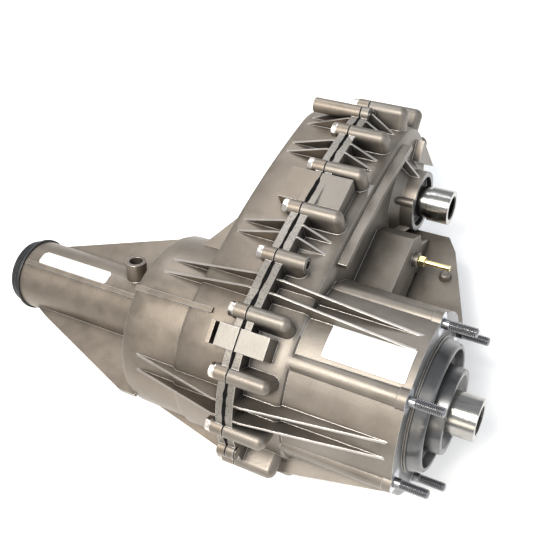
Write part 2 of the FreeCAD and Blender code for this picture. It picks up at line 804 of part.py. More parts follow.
def make_front_case():
    """Front casting: bolted rim, chain cover, gear tower, output tower and webs."""
    rim_front = parting + d.flange_thickness
    wide = cover_front - d.shoulder
    solids = [
        case_prism("front_rim", front_joint, rim_front, 0),
        case_prism("front_cover_wall", front_joint, wide, d.wall_inset),
        shoulder_loft("front_shoulder", wide, cover_front, d.wall_inset),
        revolve("gear_tower", [
            (wide, 0), (0, 0), (0, d.tower_radius_front), (wide, d.tower_radius_rear)]),
        rod("pilot_ring", -1, d.pilot_height, d.pilot_radius),
        rods_at("stud_columns", rim_front, 0, d.stud_column_radius, STUDS),
        rods_at("stud_lobes", -d.face_plate, 0, d.stud_lobe_radius, STUDS),
        rods_at("front_dowel_bosses", front_joint, rim_front, d.boss_radius, DOWELS),
    ]
    solids.append(revolve("output_tower", [
        (wide, 0), (output_face, 0), (output_face, d.output_boss_radius),
        (cover_front + d.output_flare, d.output_boss_radius),
        (cover_front, d.output_boss_radius + d.output_flare), (wide, d.output_boss_radius + d.output_flare)],
        shaft_distance))
    for i in range(3):
        solids.append(wedge_rib("output_rib_%d" % (i + 1), cover_front, d.output_boss_length,
                                d.output_bearing_radius, d.output_rib_reach, 76 + 120 * i,
                                y=shaft_distance))
    ridge = d.output_boss_radius + d.output_ridge_radius / 3
    solids.append(rod("output_ridge", wide, output_face, d.output_ridge_radius,
                      shaft_distance + ridge * cosine(d.output_ridge_angle),
                      ridge * sine(d.output_ridge_angle)))
    high = d.output_pad_turn
    low = d.output_pad_foot_turn
    solids.append(block("output_pad", wide, cover_front + d.cover_lip_height, [
        (shaft_distance + d.output_pad_top * cosine(high), d.output_pad_top * sine(high)),
        (shaft_distance + d.output_pad_inner * cosine(high), d.output_pad_inner * sine(high)),
        (shaft_distance + d.output_pad_foot * cosine(low), d.output_pad_foot * sine(low))]))
    lip_back = cover_front - 1
    lip_front = cover_front + d.cover_lip_height
    solids.append(cut("cover_lip", case_prism("cover_lip_outside", lip_back, lip_front, d.cover_lip_inset), [
        case_prism("cover_lip_inside", lip_back - 1, lip_front + 1, d.cover_lip_inset + d.cover_lip_width),
        block("cover_lip_rest", lip_back - 1, lip_front + 1, [
            (-flange_main, -flange_main), (shaft_distance + flange_main, -flange_main),
            (shaft_distance + flange_main, flange_main), (d.cover_lip_end, flange_main),
            (d.cover_lip_end, 0), (d.cover_lip_start, 0), (d.cover_lip_start, flange_main),
            (-flange_main, flange_main)])]))
    solids.append(plate("tower_web", d.web_height - d.web_thickness, d.web_height, [
        (-d.face_plate * 0.4, d.tower_radius_front * 0.8), (-d.face_plate * 0.4, d.web_near_reach),
        (-d.web_corner_near, shaft_distance - d.output_boss_radius),
        (-d.web_corner_far, shaft_distance - d.output_boss_radius / 2),
        (output_face, shaft_distance - d.output_boss_radius / 2),
        (wide, shaft_distance - d.output_boss_radius / 2), (wide, d.tower_radius_front * 0.8)]))
    solids.append(rounded_box("shift_box", wide, box_front, d.tower_radius_front * 0.6,
                              d.shift_box_reach, -d.shift_box_low, d.shift_box_high, d.shift_box_corner))
    solids.append(rod("vent_boss", box_front - 1, box_front + d.vent_boss_height,
                      d.vent_boss_radius, d.vent_across, d.vent_height))
    solids.append(block("front_side_pad", front_joint, parting + d.pad_length + d.rib_root, pad_outline()))
    solids.append(radial_block("front_lug", front_joint, parting + d.lug_length, d.lug_angle))
    for number, (gap, shift, tilt) in enumerate(FIN_GAPS, start=1):
        centre = d.main_bolt_start + d.main_bolt_step * gap + shift
        solids += fins("tower_fin_%d" % number, rim_front, -rim_front - 1,
                       d.tower_radius_front - d.rib_root, centre, tilt, False)
    solids += side_fins("front_side_fin", rim_front, d.front_side_rib_length, False)
    solids += arc_fins("front_arc_fin", rim_front, d.front_side_rib_length, False)
    hole = d.case_bolt_radius + d.case_bolt_clearance / 2
    tools = [
        revolve("gear_cavity", [
            (parting - 1, 0), (parting - 1, flange_main - d.wall_inset - d.wall * 2),
            (gear_rear - d.cavity_taper, flange_main - d.wall_inset - d.wall * 2),
            (gear_rear - d.cavity_taper * 0.6, d.tower_bore_radius), (cavity_front, d.tower_bore_radius),
            (cavity_front, d.bearing_lip_radius), (bearing_back, d.bearing_lip_radius),
            (bearing_back, d.input_bearing_radius), (d.pilot_height + 1, d.input_bearing_radius),
            (d.pilot_height + 1, 0)]),
        case_prism("front_chain_space", parting - 1, cover_front - d.wall, d.wall_inset + d.wall),
        revolve("output_bore", [
            (cover_front - d.wall - 1, 0), (cover_front - d.wall - 1, d.output_lip_radius),
            (output_bearing_back, d.output_lip_radius), (output_bearing_back, d.output_bearing_radius),
            (output_face + 1, d.output_bearing_radius), (output_face + 1, 0)], shaft_distance),
        rounded_box("shift_space", cover_front - d.wall - 1, box_front - d.wall,
                    d.tower_radius_front * 0.6, d.shift_box_reach - d.wall,
                    d.wall - d.shift_box_low, d.shift_box_high - d.wall, d.shift_box_corner - 2),
        rods_at("stud_holes", -d.stud_depth, 1, d.stud_root_radius + d.stud_clearance, STUDS),
        rods_at("front_bolt_holes", parting - 1, front_joint + d.case_bolt_grip - d.rear_boss_length + 2,
                hole, BOLTS),
        rods_at("front_dowel_holes", parting - 1, parting + d.dowel_length / 2,
                d.dowel_radius + d.running_clearance, DOWELS),
        rod("vent_hole", box_front - d.wall - 2, box_front + d.vent_boss_height + 1, d.vent_thread_radius,
            d.vent_across, d.vent_height),
    ]
    bosses = join("front_boss_set", front_bosses())
    body = join("front_case_body", solids)
    return cut("front_case", join("front_case_solid", [body, bosses]), tools)


def pad_outline():
    """The flat pad between two bolts on the upper side, shared by both castings."""
    middle = float(d.side_bolt_start) + float(d.side_bolt_pitch) * 1.5
    top = side_height(middle)
    return [
        (middle - d.pad_half_width, top - d.pad_drop), (middle + d.pad_half_width, top - d.pad_drop),
        (middle + d.pad_half_width, top + d.pad_rise), (middle - d.pad_half_width, top + d.pad_rise),
    ]


def radial_block(name, back, front, angle):
    """A square lug on the flange at an angle about the main shaft."""
    low = d.main_bolt_radius - d.lug_drop
    high = d.main_bolt_radius + d.lug_rise
    return radial_plate(name, angle, [(back, low), (front, low), (front, high), (back, high)],
                        d.lug_width)


def make_rear_case():
    """Rear casting: bolted rim, chain cover, drum, tail tube, webs and sensor boss."""
    rim_rear = parting - d.flange_thickness
    wide = cover_rear + d.shoulder
    edge = d.drum_edge
    solids = [
        case_prism("rear_rim", rim_rear, rear_joint, 0),
        case_prism("rear_cover_wall", wide, rear_joint, d.wall_inset),
        shoulder_loft("rear_shoulder", wide, cover_rear, d.wall_inset),
        revolve("drum", [
            (rear_joint, 0), (rear_joint, d.drum_radius_front), (drum_end + edge, d.drum_radius_rear),
            (drum_end + edge * 0.3, d.drum_radius_rear - edge * 0.3),
            (drum_end, d.drum_radius_rear - edge), (drum_end, d.tail_ring_radius),
            (drum_end - d.tail_ring_length, d.tail_ring_radius),
            (drum_end - d.tail_ring_length, d.tail_radius),
            (tail_end, d.tail_radius), (tail_end, 0)]),
        plate("drum_hood", -d.hood_height, d.hood_height, [
            (wide, 0), (wide, d.hood_reach), (cover_rear - d.shoulder, d.hood_reach - d.shoulder),
            (cover_rear - d.hood_length, d.tail_radius), (cover_rear - d.hood_length, 0)]),
        rods_at("rear_bosses", parting - d.rear_boss_length, rear_joint, d.boss_radius, BOLTS),
        rods_at("rear_dowel_bosses", rim_rear, rear_joint, d.boss_radius, DOWELS),
        rods_at("rear_dowel_post", parting - d.dowel_post_length, rear_joint, d.boss_radius, DOWELS[1:]),
    ]
    low = -d.web_thickness / 2
    high = d.web_thickness / 2
    inside = d.tail_radius * 0.9
    solids.append(plate("outer_web", low, high, [
        (tail_end + d.web_start_out, inside), (drum_end + d.drum_edge, inside),
        (drum_end + d.drum_edge, d.web_reach_out), (drum_end - d.tail_ring_length, d.web_reach_out),
        (tail_end + d.web_start_out, d.tail_radius + 1)]))
    solids.append(plate("inner_web", low, high, [
        (tail_end + d.web_start_in, -inside), (tail_end + d.web_start_in, -d.tail_radius - 1),
        (tail_end + d.web_start_in + d.web_lug, -d.tail_radius - d.web_lug / 2),
        (drum_end - d.tail_ring_length, -d.web_reach_in),
        (drum_end + d.drum_edge, -d.web_reach_in), (drum_end + d.drum_edge, -inside)]))
    solids.append(radial_plate("tail_spine", d.spine_angle, [
        (tail_end + d.web_lug / 4, d.tail_bore_radius + 2), (drum_end + 1, d.tail_bore_radius + 2),
        (drum_end + 1, d.spine_radius), (tail_end + d.web_lug / 4, d.spine_radius)], d.spine_width))
    solids.append(radial_plate("drum_spine", d.spine_angle, [
        (drum_end + 1, d.tail_radius), (parting - d.spine_stop, d.drum_radius_front - d.wall),
        (parting - d.spine_stop, flange_main - d.wall_inset + d.spine_height),
        (drum_end + 1, d.drum_radius_rear + d.spine_height - d.drum_edge / 2)], d.spine_width))
    solids.append(sensor_rod("sensor_boss", d.tail_bore_radius + 2, d.sensor_boss_top, d.sensor_boss_radius))
    solids.append(block("rear_side_pad", parting - d.pad_length, rear_joint, pad_outline()))
    solids.append(radial_block("rear_lug", parting - d.lug_length, rear_joint, d.lug_angle))
    for number, (gap, shift, tilt) in enumerate(FIN_GAPS, start=1):
        centre = d.main_bolt_start + d.main_bolt_step * gap + shift
        solids += fins("drum_fin_%d" % number, rim_rear, d.drum_rib_length, d.drum_radius_rear - d.rib_root,
                       centre, tilt, True)
    solids += side_fins("rear_side_fin", rim_rear, d.rear_side_rib_length, True)
    solids += arc_fins("rear_arc_fin", rim_rear, d.rear_side_rib_length, True)
    hole = d.case_bolt_radius + d.case_bolt_clearance
    slot_back = parting - d.lug_length + d.lug_lip
    slot_floor = flange_main - d.wall_inset + d.rib_root
    slot_top = d.main_bolt_radius + d.lug_rise + 1
    lug_slot = radial_plate("rear_lug_slot", d.lug_angle, [
        (slot_back, slot_floor), (slot_back + d.lug_slot, slot_floor),
        (slot_back + d.lug_slot, slot_top), (slot_back, slot_top)], d.lug_width + 2)
    inner_end = drum_end + d.wall
    tools = [
        case_prism("rear_chain_space", cover_rear + d.wall, parting + 1, d.wall_inset + d.wall),
        revolve("drum_space", [
            (parting + 1, 0), (parting + 1, d.drum_radius_front - d.wall * 2),
            (drum_floor, d.drum_radius_rear - d.wall * 2), (drum_floor, d.rear_bearing_radius),
            (inner_end, d.rear_bearing_radius), (inner_end, d.tail_bore_radius - d.tail_lip),
            (drum_end - d.tail_ring_length, d.tail_bore_radius - d.tail_lip),
            (drum_end - d.tail_ring_length, d.tail_bore_radius), (tail_end - 1, d.tail_bore_radius),
            (tail_end - 1, 0)]),
        sensor_rod("sensor_hole", 0, d.sensor_boss_top + 1, d.sensor_hole_radius),
        rods_at("rear_bolt_holes", parting - d.rear_boss_length - 1, parting + 1, hole, BOLTS),
        rods_at("rear_dowel_holes", parting - d.dowel_length / 2, parting + 1,
                d.dowel_radius + d.running_clearance, DOWELS),
        rod("output_rear_pocket", cover_rear + d.wall * 0.4, cover_rear + d.wall + 1,
            d.output_bearing_radius, shaft_distance),
        rod("sector_hole", cover_rear - 1, cover_rear + d.wall + 1,
            d.sector_shaft_radius + d.running_clearance, sector_across, d.sector_height),
        rods_at("bolt_seats", parting - d.rear_boss_length - d.bolt_head_height - 1,
                parting - d.rear_boss_length, d.bolt_seat_radius, BOLTS),
        rods_at("plug_holes", cover_rear - 1, cover_rear + d.wall + 1,
                d.plug_thread_radius + d.running_clearance, PLUGS),
        lug_slot,
    ]
    hollow = cut("rear_case_hollow", join("rear_case_solid", solids), tools)
    pocket = ring("output_rear_boss", cover_rear + d.wall - 1, output_rear_bearing_front,
                  d.output_bearing_radius, d.output_boss_radius, shaft_distance)
    return join("rear_case", [hollow, pocket])


def sensor_rod(name, foot, top, radius):
    """A bar that stands on the tail tube at the sensor's angle."""
    angle = math.radians(float(d.sensor_angle))
    outward = FreeCAD.Vector(0, math.cos(angle), math.sin(angle))
    station = drum_end - d.sensor_station
    sketch = new_sketch(name + "_circle", FreeCAD.Rotation(FreeCAD.Vector(0, 0, 1), outward),
                        station, foot * cosine(d.sensor_angle), foot * sine(d.sensor_angle))
    add_circle(sketch, 0, 0, radius)
    return extrude(name, sketch, top - foot)



def gear_outline(teeth, module, backlash, internal=False):
    """Corner points of straight-sided teeth that follow the involute at root and tip."""
    pressure = math.radians(25)
    pitch = module * teeth / 2
    base = pitch * math.cos(pressure)
    involute = math.tan(pressure) - pressure
    tip, root = pitch + 0.8 * module, pitch - 1.0 * module
    play = -backlash / 2
    if internal:
        tip, root = pitch + 1.0 * module, pitch - 0.8 * module
        play = backlash / 2

    def half_angle(radius):
        slope = math.acos(min(1.0, base / max(radius, base)))
        return math.pi / 2 / teeth + involute - (math.tan(slope) - slope) + play / pitch

    points = []
    for tooth in range(teeth):
        centre = 2 * math.pi * tooth / teeth
        for radius, side in ((root, -1), (tip, -1), (tip, 1), (root, 1)):
            angle = centre + side * half_angle(radius)
            points.append((radius * math.cos(angle), radius * math.sin(angle)))
    return points


def toothed(name, points, back, front, y=0.0, z=0.0, turn=0.0):
    """A prism along X from a closed list of (Y, Z) tooth points."""
    corners = [FreeCAD.Vector(0, a, b) for a, b in points]
    wire = Part.makePolygon(corners + corners[:1])
    solid = Part.Face(wire).extrude(FreeCAD.Vector(float(front) - float(back), 0, 0))
    obj = doc.addObject("Part::Feature", name)
    obj.Shape = solid
    spin = axial_turn(turn)
    obj.Placement = FreeCAD.Placement(FreeCAD.Vector(float(back), float(y), float(z)), spin)
    return obj


def sprocket_outline():
    """Teeth for an inverted-tooth chain, one to each chain pitch."""
    teeth = int(d.sprocket_teeth.value)
    tip = float(sprocket_tip)
    root = tip - float(d.sprocket_root)
    points = []
    for tooth in range(teeth):
        centre = 2 * math.pi * tooth / teeth
        share = math.pi / teeth
        for radius, side in ((root, -0.78), (tip, -0.34), (tip, 0.34), (root, 0.78)):
            angle = centre + side * share
            points.append((radius * math.cos(angle), radius * math.sin(angle)))
    return points


def slot_prism(name, back, front, radius):
    """A prism round both shafts: two half circles joined by straight runs."""
    sketch = new_sketch(name + "_outline", YZ, back)
    normal = FreeCAD.Vector(0, 0, 1)
    far = FreeCAD.Vector(float(shaft_distance), 0, 0)
    near_circle = Part.Circle(FreeCAD.Vector(0, 0, 0), normal, float(radius))
    far_circle = Part.Circle(far, normal, float(radius))
    up = FreeCAD.Vector(0, float(radius), 0)
    sketch.addGeometry(Part.ArcOfCircle(near_circle, math.pi / 2, 3 * math.pi / 2), False)
    sketch.addGeometry(Part.LineSegment(-up, far - up), False)
    sketch.addGeometry(Part.ArcOfCircle(far_circle, -math.pi / 2, math.pi / 2), False)
    sketch.addGeometry(Part.LineSegment(far + up, up), False)
    for i in range(4):
        sketch.addConstraint(Sketcher.Constraint("Tangent", i, 2, (i + 1) % 4, 1))
    tie_radius(sketch, 0, radius)
    tie(sketch, "DistanceX", 0, 3, 0)
    tie(sketch, "DistanceY", 0, 3, 0)
    tie(sketch, "DistanceX", 2, 3, shaft_distance)
    tie(sketch, "DistanceY", 2, 3, 0)
    return extrude(name, sketch, front - back)


def hex_prism(name, back, front, across_flats, y, z):
    """A six-sided prism along X."""
    outline = []
    for i in range(6):
        corner = across_flats / 2 / cosine(30)
        outline.append((y + corner * cosine(60 * i), z + corner * sine(60 * i)))
    return block(name, back, front, outline)


def make_case_bolts():
    head_front = parting - d.rear_boss_length
    head_back = head_front - d.bolt_head_height
    sketch = new_sketch("bolt_heads_outline", YZ, head_back)
    corner = d.bolt_head_width / 2 / cosine(30)
    for y, z in BOLTS:
        add_polygon(sketch, [
            (y + corner * cosine(60 * i), z + corner * sine(60 * i)) for i in range(6)])
    heads = extrude("bolt_heads", sketch, head_front - head_back)
    shanks = rods_at("bolt_shanks", head_back + 1, head_front + d.case_bolt_grip, d.case_bolt_radius, BOLTS)
    return join("case_bolts", [heads, shanks])


def make_sealant():
    """The bead that fills the joint, cut back inside and let through for bolts and dowels."""
    bead = case_prism("sealant_outer", rear_joint, front_joint, d.sealant_inset)
    clear = d.case_bolt_radius + d.case_bolt_clearance
    return cut("case_sealant", bead, [
        case_prism("sealant_inner", rear_joint - 1, front_joint + 1, d.wall_inset + d.wall),
        rods_at("sealant_bolt_holes", rear_joint - 1, front_joint + 1, clear, BOLTS),
        rods_at("sealant_dowel_holes", rear_joint - 1, front_joint + 1,
                d.dowel_radius + d.case_bolt_clearance, DOWELS)])


def make_input_gear():
    end = d.input_reach
    outside = revolve("input_shaft_solid", [
        (gear_rear, 0), (end, 0), (end, d.input_shaft_radius), (d.pilot_height, d.input_shaft_radius),
        (-d.bearing_setback / 2, d.input_shaft_radius + 1),
        (-d.bearing_setback / 2, d.input_journal_radius), (bearing_back, d.input_journal_radius),
        (bearing_back, d.neck_radius), (gear_front, d.neck_radius),
        (gear_front, sun_radius - d.gear_module * 1.5), (gear_rear, sun_radius - d.gear_module * 1.5)])
    teeth = gear_outline(int(d.sun_teeth.value), d.gear_module.value, d.gear_backlash.value)
    solid = join("input_gear_solid", [outside, toothed("sun_teeth", teeth, gear_rear, gear_front)])
    return cut("input_gear", solid, [
        rod("input_bore", end - d.input_bore_depth, end + 1, d.input_bore_radius),
        rod("pilot_bore", gear_rear - 1, gear_rear + d.pilot_bore_depth,
            d.mainshaft_pilot_radius + d.running_clearance)])


def make_annulus_gear():
    teeth = int(round(float(annulus_radius) * 2 / d.gear_module.value))
    space = gear_outline(teeth, d.gear_module.value, d.gear_backlash.value, internal=True)
    body = rod("annulus_body", gear_rear, gear_front, d.tower_bore_radius - d.running_clearance)
    return cut("annulus_gear", body, [toothed("annulus_space", space, gear_rear - 1, gear_front + 1)])


def make_carrier():
    front = gear_front + d.carrier_gap
    rear = gear_rear - d.carrier_gap
    solids = [
        ring("carrier_front", front, front + d.carrier_plate, d.carrier_bore_radius, d.carrier_radius),
        ring("carrier_rear", rear - d.carrier_plate, rear,
             d.mainshaft_radius + d.running_clearance, d.carrier_radius),
        ring("carrier_hub", rear - d.carrier_plate - d.carrier_hub_length, rear - d.carrier_plate,
             d.mainshaft_radius + d.running_clearance, d.carrier_hub_radius)]
    step = 360 / d.planet_count
    count = int(d.planet_count.value)
    pins = [(planet_orbit * cosine(step * i), planet_orbit * sine(step * i)) for i in range(count)]
    posts = [(planet_orbit * cosine(step * (i + 0.5)), planet_orbit * sine(step * (i + 0.5)))
             for i in range(count)]
    solids.append(rods_at("planet_pins", rear - d.carrier_plate, front + d.carrier_plate,
                          d.planet_pin_radius, pins))
    solids.append(rods_at("carrier_posts", rear - 1, front + 1, d.carrier_post_radius, posts))
    return join("planet_carrier", solids)


def make_planets():
    made = []
    teeth = gear_outline(int(d.planet_teeth.value), d.gear_module.value, d.gear_backlash.value)
    for i in range(int(d.planet_count.value)):
        angle = 360.0 / d.planet_count.value * i
        y = float(planet_orbit) * math.cos(math.radians(angle))
        z = float(planet_orbit) * math.sin(math.radians(angle))
        name = "planet_gear_%d" % (i + 1)
        blank = toothed(name + "_teeth", teeth, gear_rear, gear_front, y, z, angle)
        hole = rod(name + "_bore", gear_rear - 1, gear_front + 1,
                   d.planet_pin_radius + d.running_clearance,
                   planet_orbit * cosine(angle), planet_orbit * sine(angle))
        made.append(cut(name, blank, [hole]))
    return made


def make_mainshaft():
    rear = rear_bearing_back + d.rear_bearing_width
    return revolve("mainshaft", [
        (tail_end + d.mainshaft_tail, 0), (gear_rear + d.pilot_bore_depth - 1, 0),
        (gear_rear + d.pilot_bore_depth - 1, d.mainshaft_pilot_radius),
        (gear_rear - 1, d.mainshaft_pilot_radius), (gear_rear - 1, d.mainshaft_radius),
        (rear_bearing_back, d.mainshaft_radius), (rear_bearing_back, d.tail_shaft_radius),
        (tail_end + d.mainshaft_tail, d.tail_shaft_radius)])


def make_sleeve(name, back, front):
    """A sliding clutch sleeve with a groove for its fork."""
    middle = (front + back) / 2
    half = d.fork_thickness / 2 + d.fork_gap
    floor = d.sleeve_radius - d.groove_depth
    bore = d.mainshaft_radius + d.running_clearance
    socket = d.dog_radius + d.seal_gap
    socket_floor = front - d.mode_travel - 1
    return revolve(name, [
        (back, bore), (socket_floor, bore), (socket_floor, socket), (front, socket),
        (front, d.sleeve_radius), (middle + half, d.sleeve_radius),
        (middle + half, floor), (middle - half, floor), (middle - half, d.sleeve_radius),
        (back, d.sleeve_radius)])


def make_fork(name, back, front):
    """A shift fork: half ring in the sleeve's groove, arm and hub on the rail."""
    middle = (front + back) / 2
    low = middle - d.fork_thickness / 2
    high = middle + d.fork_thickness / 2
    inner = d.sleeve_radius - d.groove_depth + d.fork_gap
    outer = inner + d.fork_ring
    half_arm = d.fork_hub_radius * 0.7
    yoke = ring(name + "_yoke", low, high, inner, outer)
    open_side = block(name + "_open_side", low - 1, high + 1, [
        (-outer - 1, -outer - 1), (0, -outer - 1), (0, outer + 1), (-outer - 1, outer + 1)])
    arm = block(name + "_arm", low, high, [
        (inner + 2, d.rail_height - half_arm), (d.rail_across, d.rail_height - half_arm),
        (d.rail_across, d.rail_height + half_arm), (inner + 2, d.rail_height + half_arm)])
    hub = rod(name + "_hub", low - d.fork_thickness / 2, high + d.fork_thickness / 2,
              d.fork_hub_radius, d.rail_across, d.rail_height)
    hole = rod(name + "_hole", low - d.fork_thickness, high + d.fork_thickness,
               d.rail_radius + d.running_clearance, d.rail_across, d.rail_height)
    half = cut(name + "_half", yoke, [open_side])
    return cut(name, join(name + "_solid", [half, arm, hub]), [hole])


def make_front_output():
    y = shaft_distance
    step = output_end - d.output_stub_step
    shaft = revolve("output_shaft_solid", [
        (output_rear_bearing_back, 0), (output_end, 0), (output_end, d.output_shaft_radius),
        (step, d.output_shaft_radius), (step, d.output_neck_radius), (seal_back, d.output_neck_radius),
        (seal_back, d.output_journal_radius), (output_bearing_back, d.output_journal_radius),
        (output_bearing_back, d.output_hub_radius), (output_rear_bearing_front, d.output_hub_radius),
        (output_rear_bearing_front, d.output_journal_radius),
        (output_rear_bearing_back, d.output_journal_radius)], y)
    bore = rod("output_shaft_bore", output_end - d.output_bore_depth, output_end + 1,
               d.output_bore_radius, y)
    return cut("front_output_shaft", shaft, [bore])


def make_sprocket(name, y, bore, hub_length):
    teeth = toothed(name + "_teeth", sprocket_outline(), chain_rear, chain_front, float(y))
    hub = rod(name + "_hub", chain_rear - hub_length, chain_rear + 1, d.dog_radius, y)
    hole = rod(name + "_bore", chain_rear - hub_length - 1, chain_front + 1, bore, y)
    return cut(name, join(name + "_solid", [teeth, hub]), [hole])


def make_chain():
    inner = sprocket_tip + d.chain_clearance
    band = slot_prism("chain_outside", chain_rear, chain_front, inner + d.chain_band)
    return cut("drive_chain", band, [slot_prism("chain_inside", chain_rear - 1, chain_front + 1, inner)])


def make_bearings():
    gap = d.running_clearance
    return join("ball_bearings", [
        ring("input_bearing", bearing_back, -d.bearing_setback, d.input_journal_radius + gap,
             d.input_bearing_radius - gap),
        ring("output_front_bearing", output_bearing_back, seal_back, d.output_journal_radius + gap,
             d.output_bearing_radius - gap, shaft_distance),
        ring("output_rear_bearing", output_rear_bearing_back, output_rear_bearing_front,
             d.output_journal_radius + gap, d.output_bearing_radius - gap, shaft_distance),
        ring("mainshaft_bearing", rear_bearing_back, rear_bearing_back + d.rear_bearing_width,
             d.mainshaft_radius + gap, d.rear_bearing_radius - gap)])


def make_retainer():
    """Stepped ring that holds the input bearing and carries the input seal deep in its mouth."""
    base = d.pilot_height
    ledge = base + d.retainer_height
    floor = ledge - d.retainer_recess
    bevel = d.retainer_rim_width / 3
    top = base + d.retainer_nose_height
    spigot = d.input_bearing_radius - d.running_clearance
    seat = d.input_seal_radius + d.running_clearance
    seal_front = top - d.retainer_mouth_depth
    seal_floor = seal_front - d.seal_width - 1
    return revolve("input_retainer", [
        (-d.bearing_setback, d.bearing_lip_radius), (-d.bearing_setback, spigot), (base, spigot),
        (base, d.retainer_radius), (ledge - bevel, d.retainer_rim_radius),
        (ledge, d.retainer_rim_radius - bevel), (ledge, d.retainer_rim_radius - d.retainer_rim_width),
        (floor, d.retainer_rim_radius - d.retainer_rim_width - d.retainer_draft),
        (floor, d.retainer_nose_radius + d.retainer_draft),
        (top, d.retainer_nose_radius), (top, d.retainer_mouth), (seal_front, seat),
        (seal_floor, seat), (seal_floor, d.neck_radius), (base, d.neck_radius)])


def make_tail_seal():
    bore = d.yoke_radius + d.seal_gap
    return revolve("tail_seal", [
        (tail_end + d.tail_seal_width, d.tail_bore_radius - d.running_clearance),
        (tail_end, d.tail_bore_radius - d.running_clearance), (tail_end, d.tail_seal_flange_radius),
        (tail_end - d.tail_seal_flange, d.tail_seal_flange_radius),
        (tail_end - d.tail_seal_flange, d.tail_bore_radius + 2),
        (tail_end - d.tail_seal_lip, d.tail_seal_lip_radius), (tail_end - d.tail_seal_lip, bore + 3),
        (tail_end, bore), (tail_end + d.tail_seal_width, bore)])


def make_vent():
    back = box_front + d.vent_boss_height
    tube_end = back + d.vent_length
    solids = [
        hex_prism("vent_hex_body", back, back + d.vent_hex_length, d.vent_hex, d.vent_across, d.vent_height),
        rod("vent_tube", back - d.vent_boss_height, tube_end, d.vent_tube_radius,
            d.vent_across, d.vent_height),
        rod("vent_thread", back - d.vent_boss_height, back + 1, d.vent_thread_radius - d.running_clearance,
            d.vent_across, d.vent_height)]
    bore = rod("vent_bore", back - d.vent_boss_height - 1, tube_end + 1, d.vent_bore_radius,
               d.vent_across, d.vent_height)
    return cut("vent_fitting", join("vent_solid", solids), [bore])


def make_plugs():
    solids = []
    for number, (y, z) in enumerate(PLUGS, start=1):
        solids.append(hex_prism("plug_head_%d" % number, cover_rear - d.plug_height, cover_rear,
                                d.plug_width, y, z))
    solids.append(rods_at("plug_threads", cover_rear - 1, cover_rear + d.wall, d.plug_thread_radius, PLUGS))
    return join("case_plugs", solids)


def make_pump():
    front = parting - d.pump_station
    back = front - d.pump_width
    rotor_clear = d.pump_rotor_radius + d.running_clearance
    drum_taper = (d.drum_radius_front - d.drum_radius_rear) / (parting + 1 - drum_floor)
    reach = d.drum_radius_rear - d.wall * 2 + drum_taper * (back - drum_floor) - d.seal_gap
    half = d.wall
    tab = block("pump_tab", back, front, [
        (-half, -reach), (half, -reach), (half, -d.pump_radius + 2), (-half, -d.pump_radius + 2)])
    body = join("oil_pump_housing", [ring("pump_ring", back, front, rotor_clear, d.pump_radius), tab])
    rotor = ring("oil_pump_rotor", back, front, d.mainshaft_radius, d.pump_rotor_radius)
    return body, rotor


def make_nodes():
    gap = d.running_clearance
    tone_back = drum_end - d.sensor_station - d.tone_ring_width / 2
    sector_front = box_front - d.wall - 2
    cam_back = sector_front - d.sector_cam_length * 2
    nose = d.pilot_height + d.retainer_nose_height - d.retainer_mouth_depth
    nodes = [
        make_front_case(), make_rear_case(), make_sealant(), make_case_bolts(),
        rods_at("dowel_pins", parting - d.dowel_length / 2, parting + d.dowel_length / 2,
                d.dowel_radius, DOWELS),
        join("adapter_studs", [
            rods_at("stud_ends", -1, d.stud_length, d.stud_radius, STUDS),
            rods_at("stud_roots", -d.stud_depth, 0, d.stud_root_radius, STUDS)]),
        make_retainer(),
        ring("input_seal", nose - d.seal_width, nose - d.seal_gap, d.input_shaft_radius + d.seal_gap,
             d.input_seal_radius),
        ring("output_seal", seal_back, output_face - d.output_recess, d.output_neck_radius + d.seal_gap,
             d.output_bearing_radius - gap, shaft_distance),
        make_tail_seal(),
        ring("tail_bushing", bushing_front - d.tail_bushing_length, bushing_front,
             d.yoke_radius, d.tail_bore_radius - gap),
        make_bearings(), make_annulus_gear(), make_chain(),
        rod("shift_rail", cover_rear + d.wall, box_front - d.wall, d.rail_radius,
            d.rail_across, d.rail_height),
        make_vent(), make_plugs(),
        make_input_gear(), make_mainshaft(), make_carrier()]
    nodes += make_planets()
    nodes += make_pump()
    nodes += [
        ring("tone_ring", tone_back, tone_back + d.tone_ring_width, d.tail_shaft_radius,
             d.tone_ring_radius),
        make_sprocket("drive_sprocket", Size(0, "0"), d.mainshaft_radius + gap, d.sprocket_hub_length),
        make_sprocket("driven_sprocket", shaft_distance, d.output_hub_radius, d.sprocket_hub_length * 0.5),
        make_front_output(),
        make_sleeve("range_sleeve", sleeve_back, sleeve_front),
        make_fork("range_fork", sleeve_back, sleeve_front),
        make_sleeve("mode_sleeve", mode_back, mode_front),
        make_fork("mode_fork", mode_back, mode_front),
        join("shift_sector", [
            rod("sector_shaft", cover_rear - d.sector_tail, sector_front, d.sector_shaft_radius,
                sector_across, d.sector_height),
            rod("sector_cam", cam_back, cam_back + d.sector_cam_length, d.sector_cam_radius,
                sector_across, d.sector_height)])]
    return nodes


NODES = make_nodes()
check_and_export(NODES)
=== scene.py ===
import math

import bmesh
import bpy
from mathutils import Matrix, Vector, noise


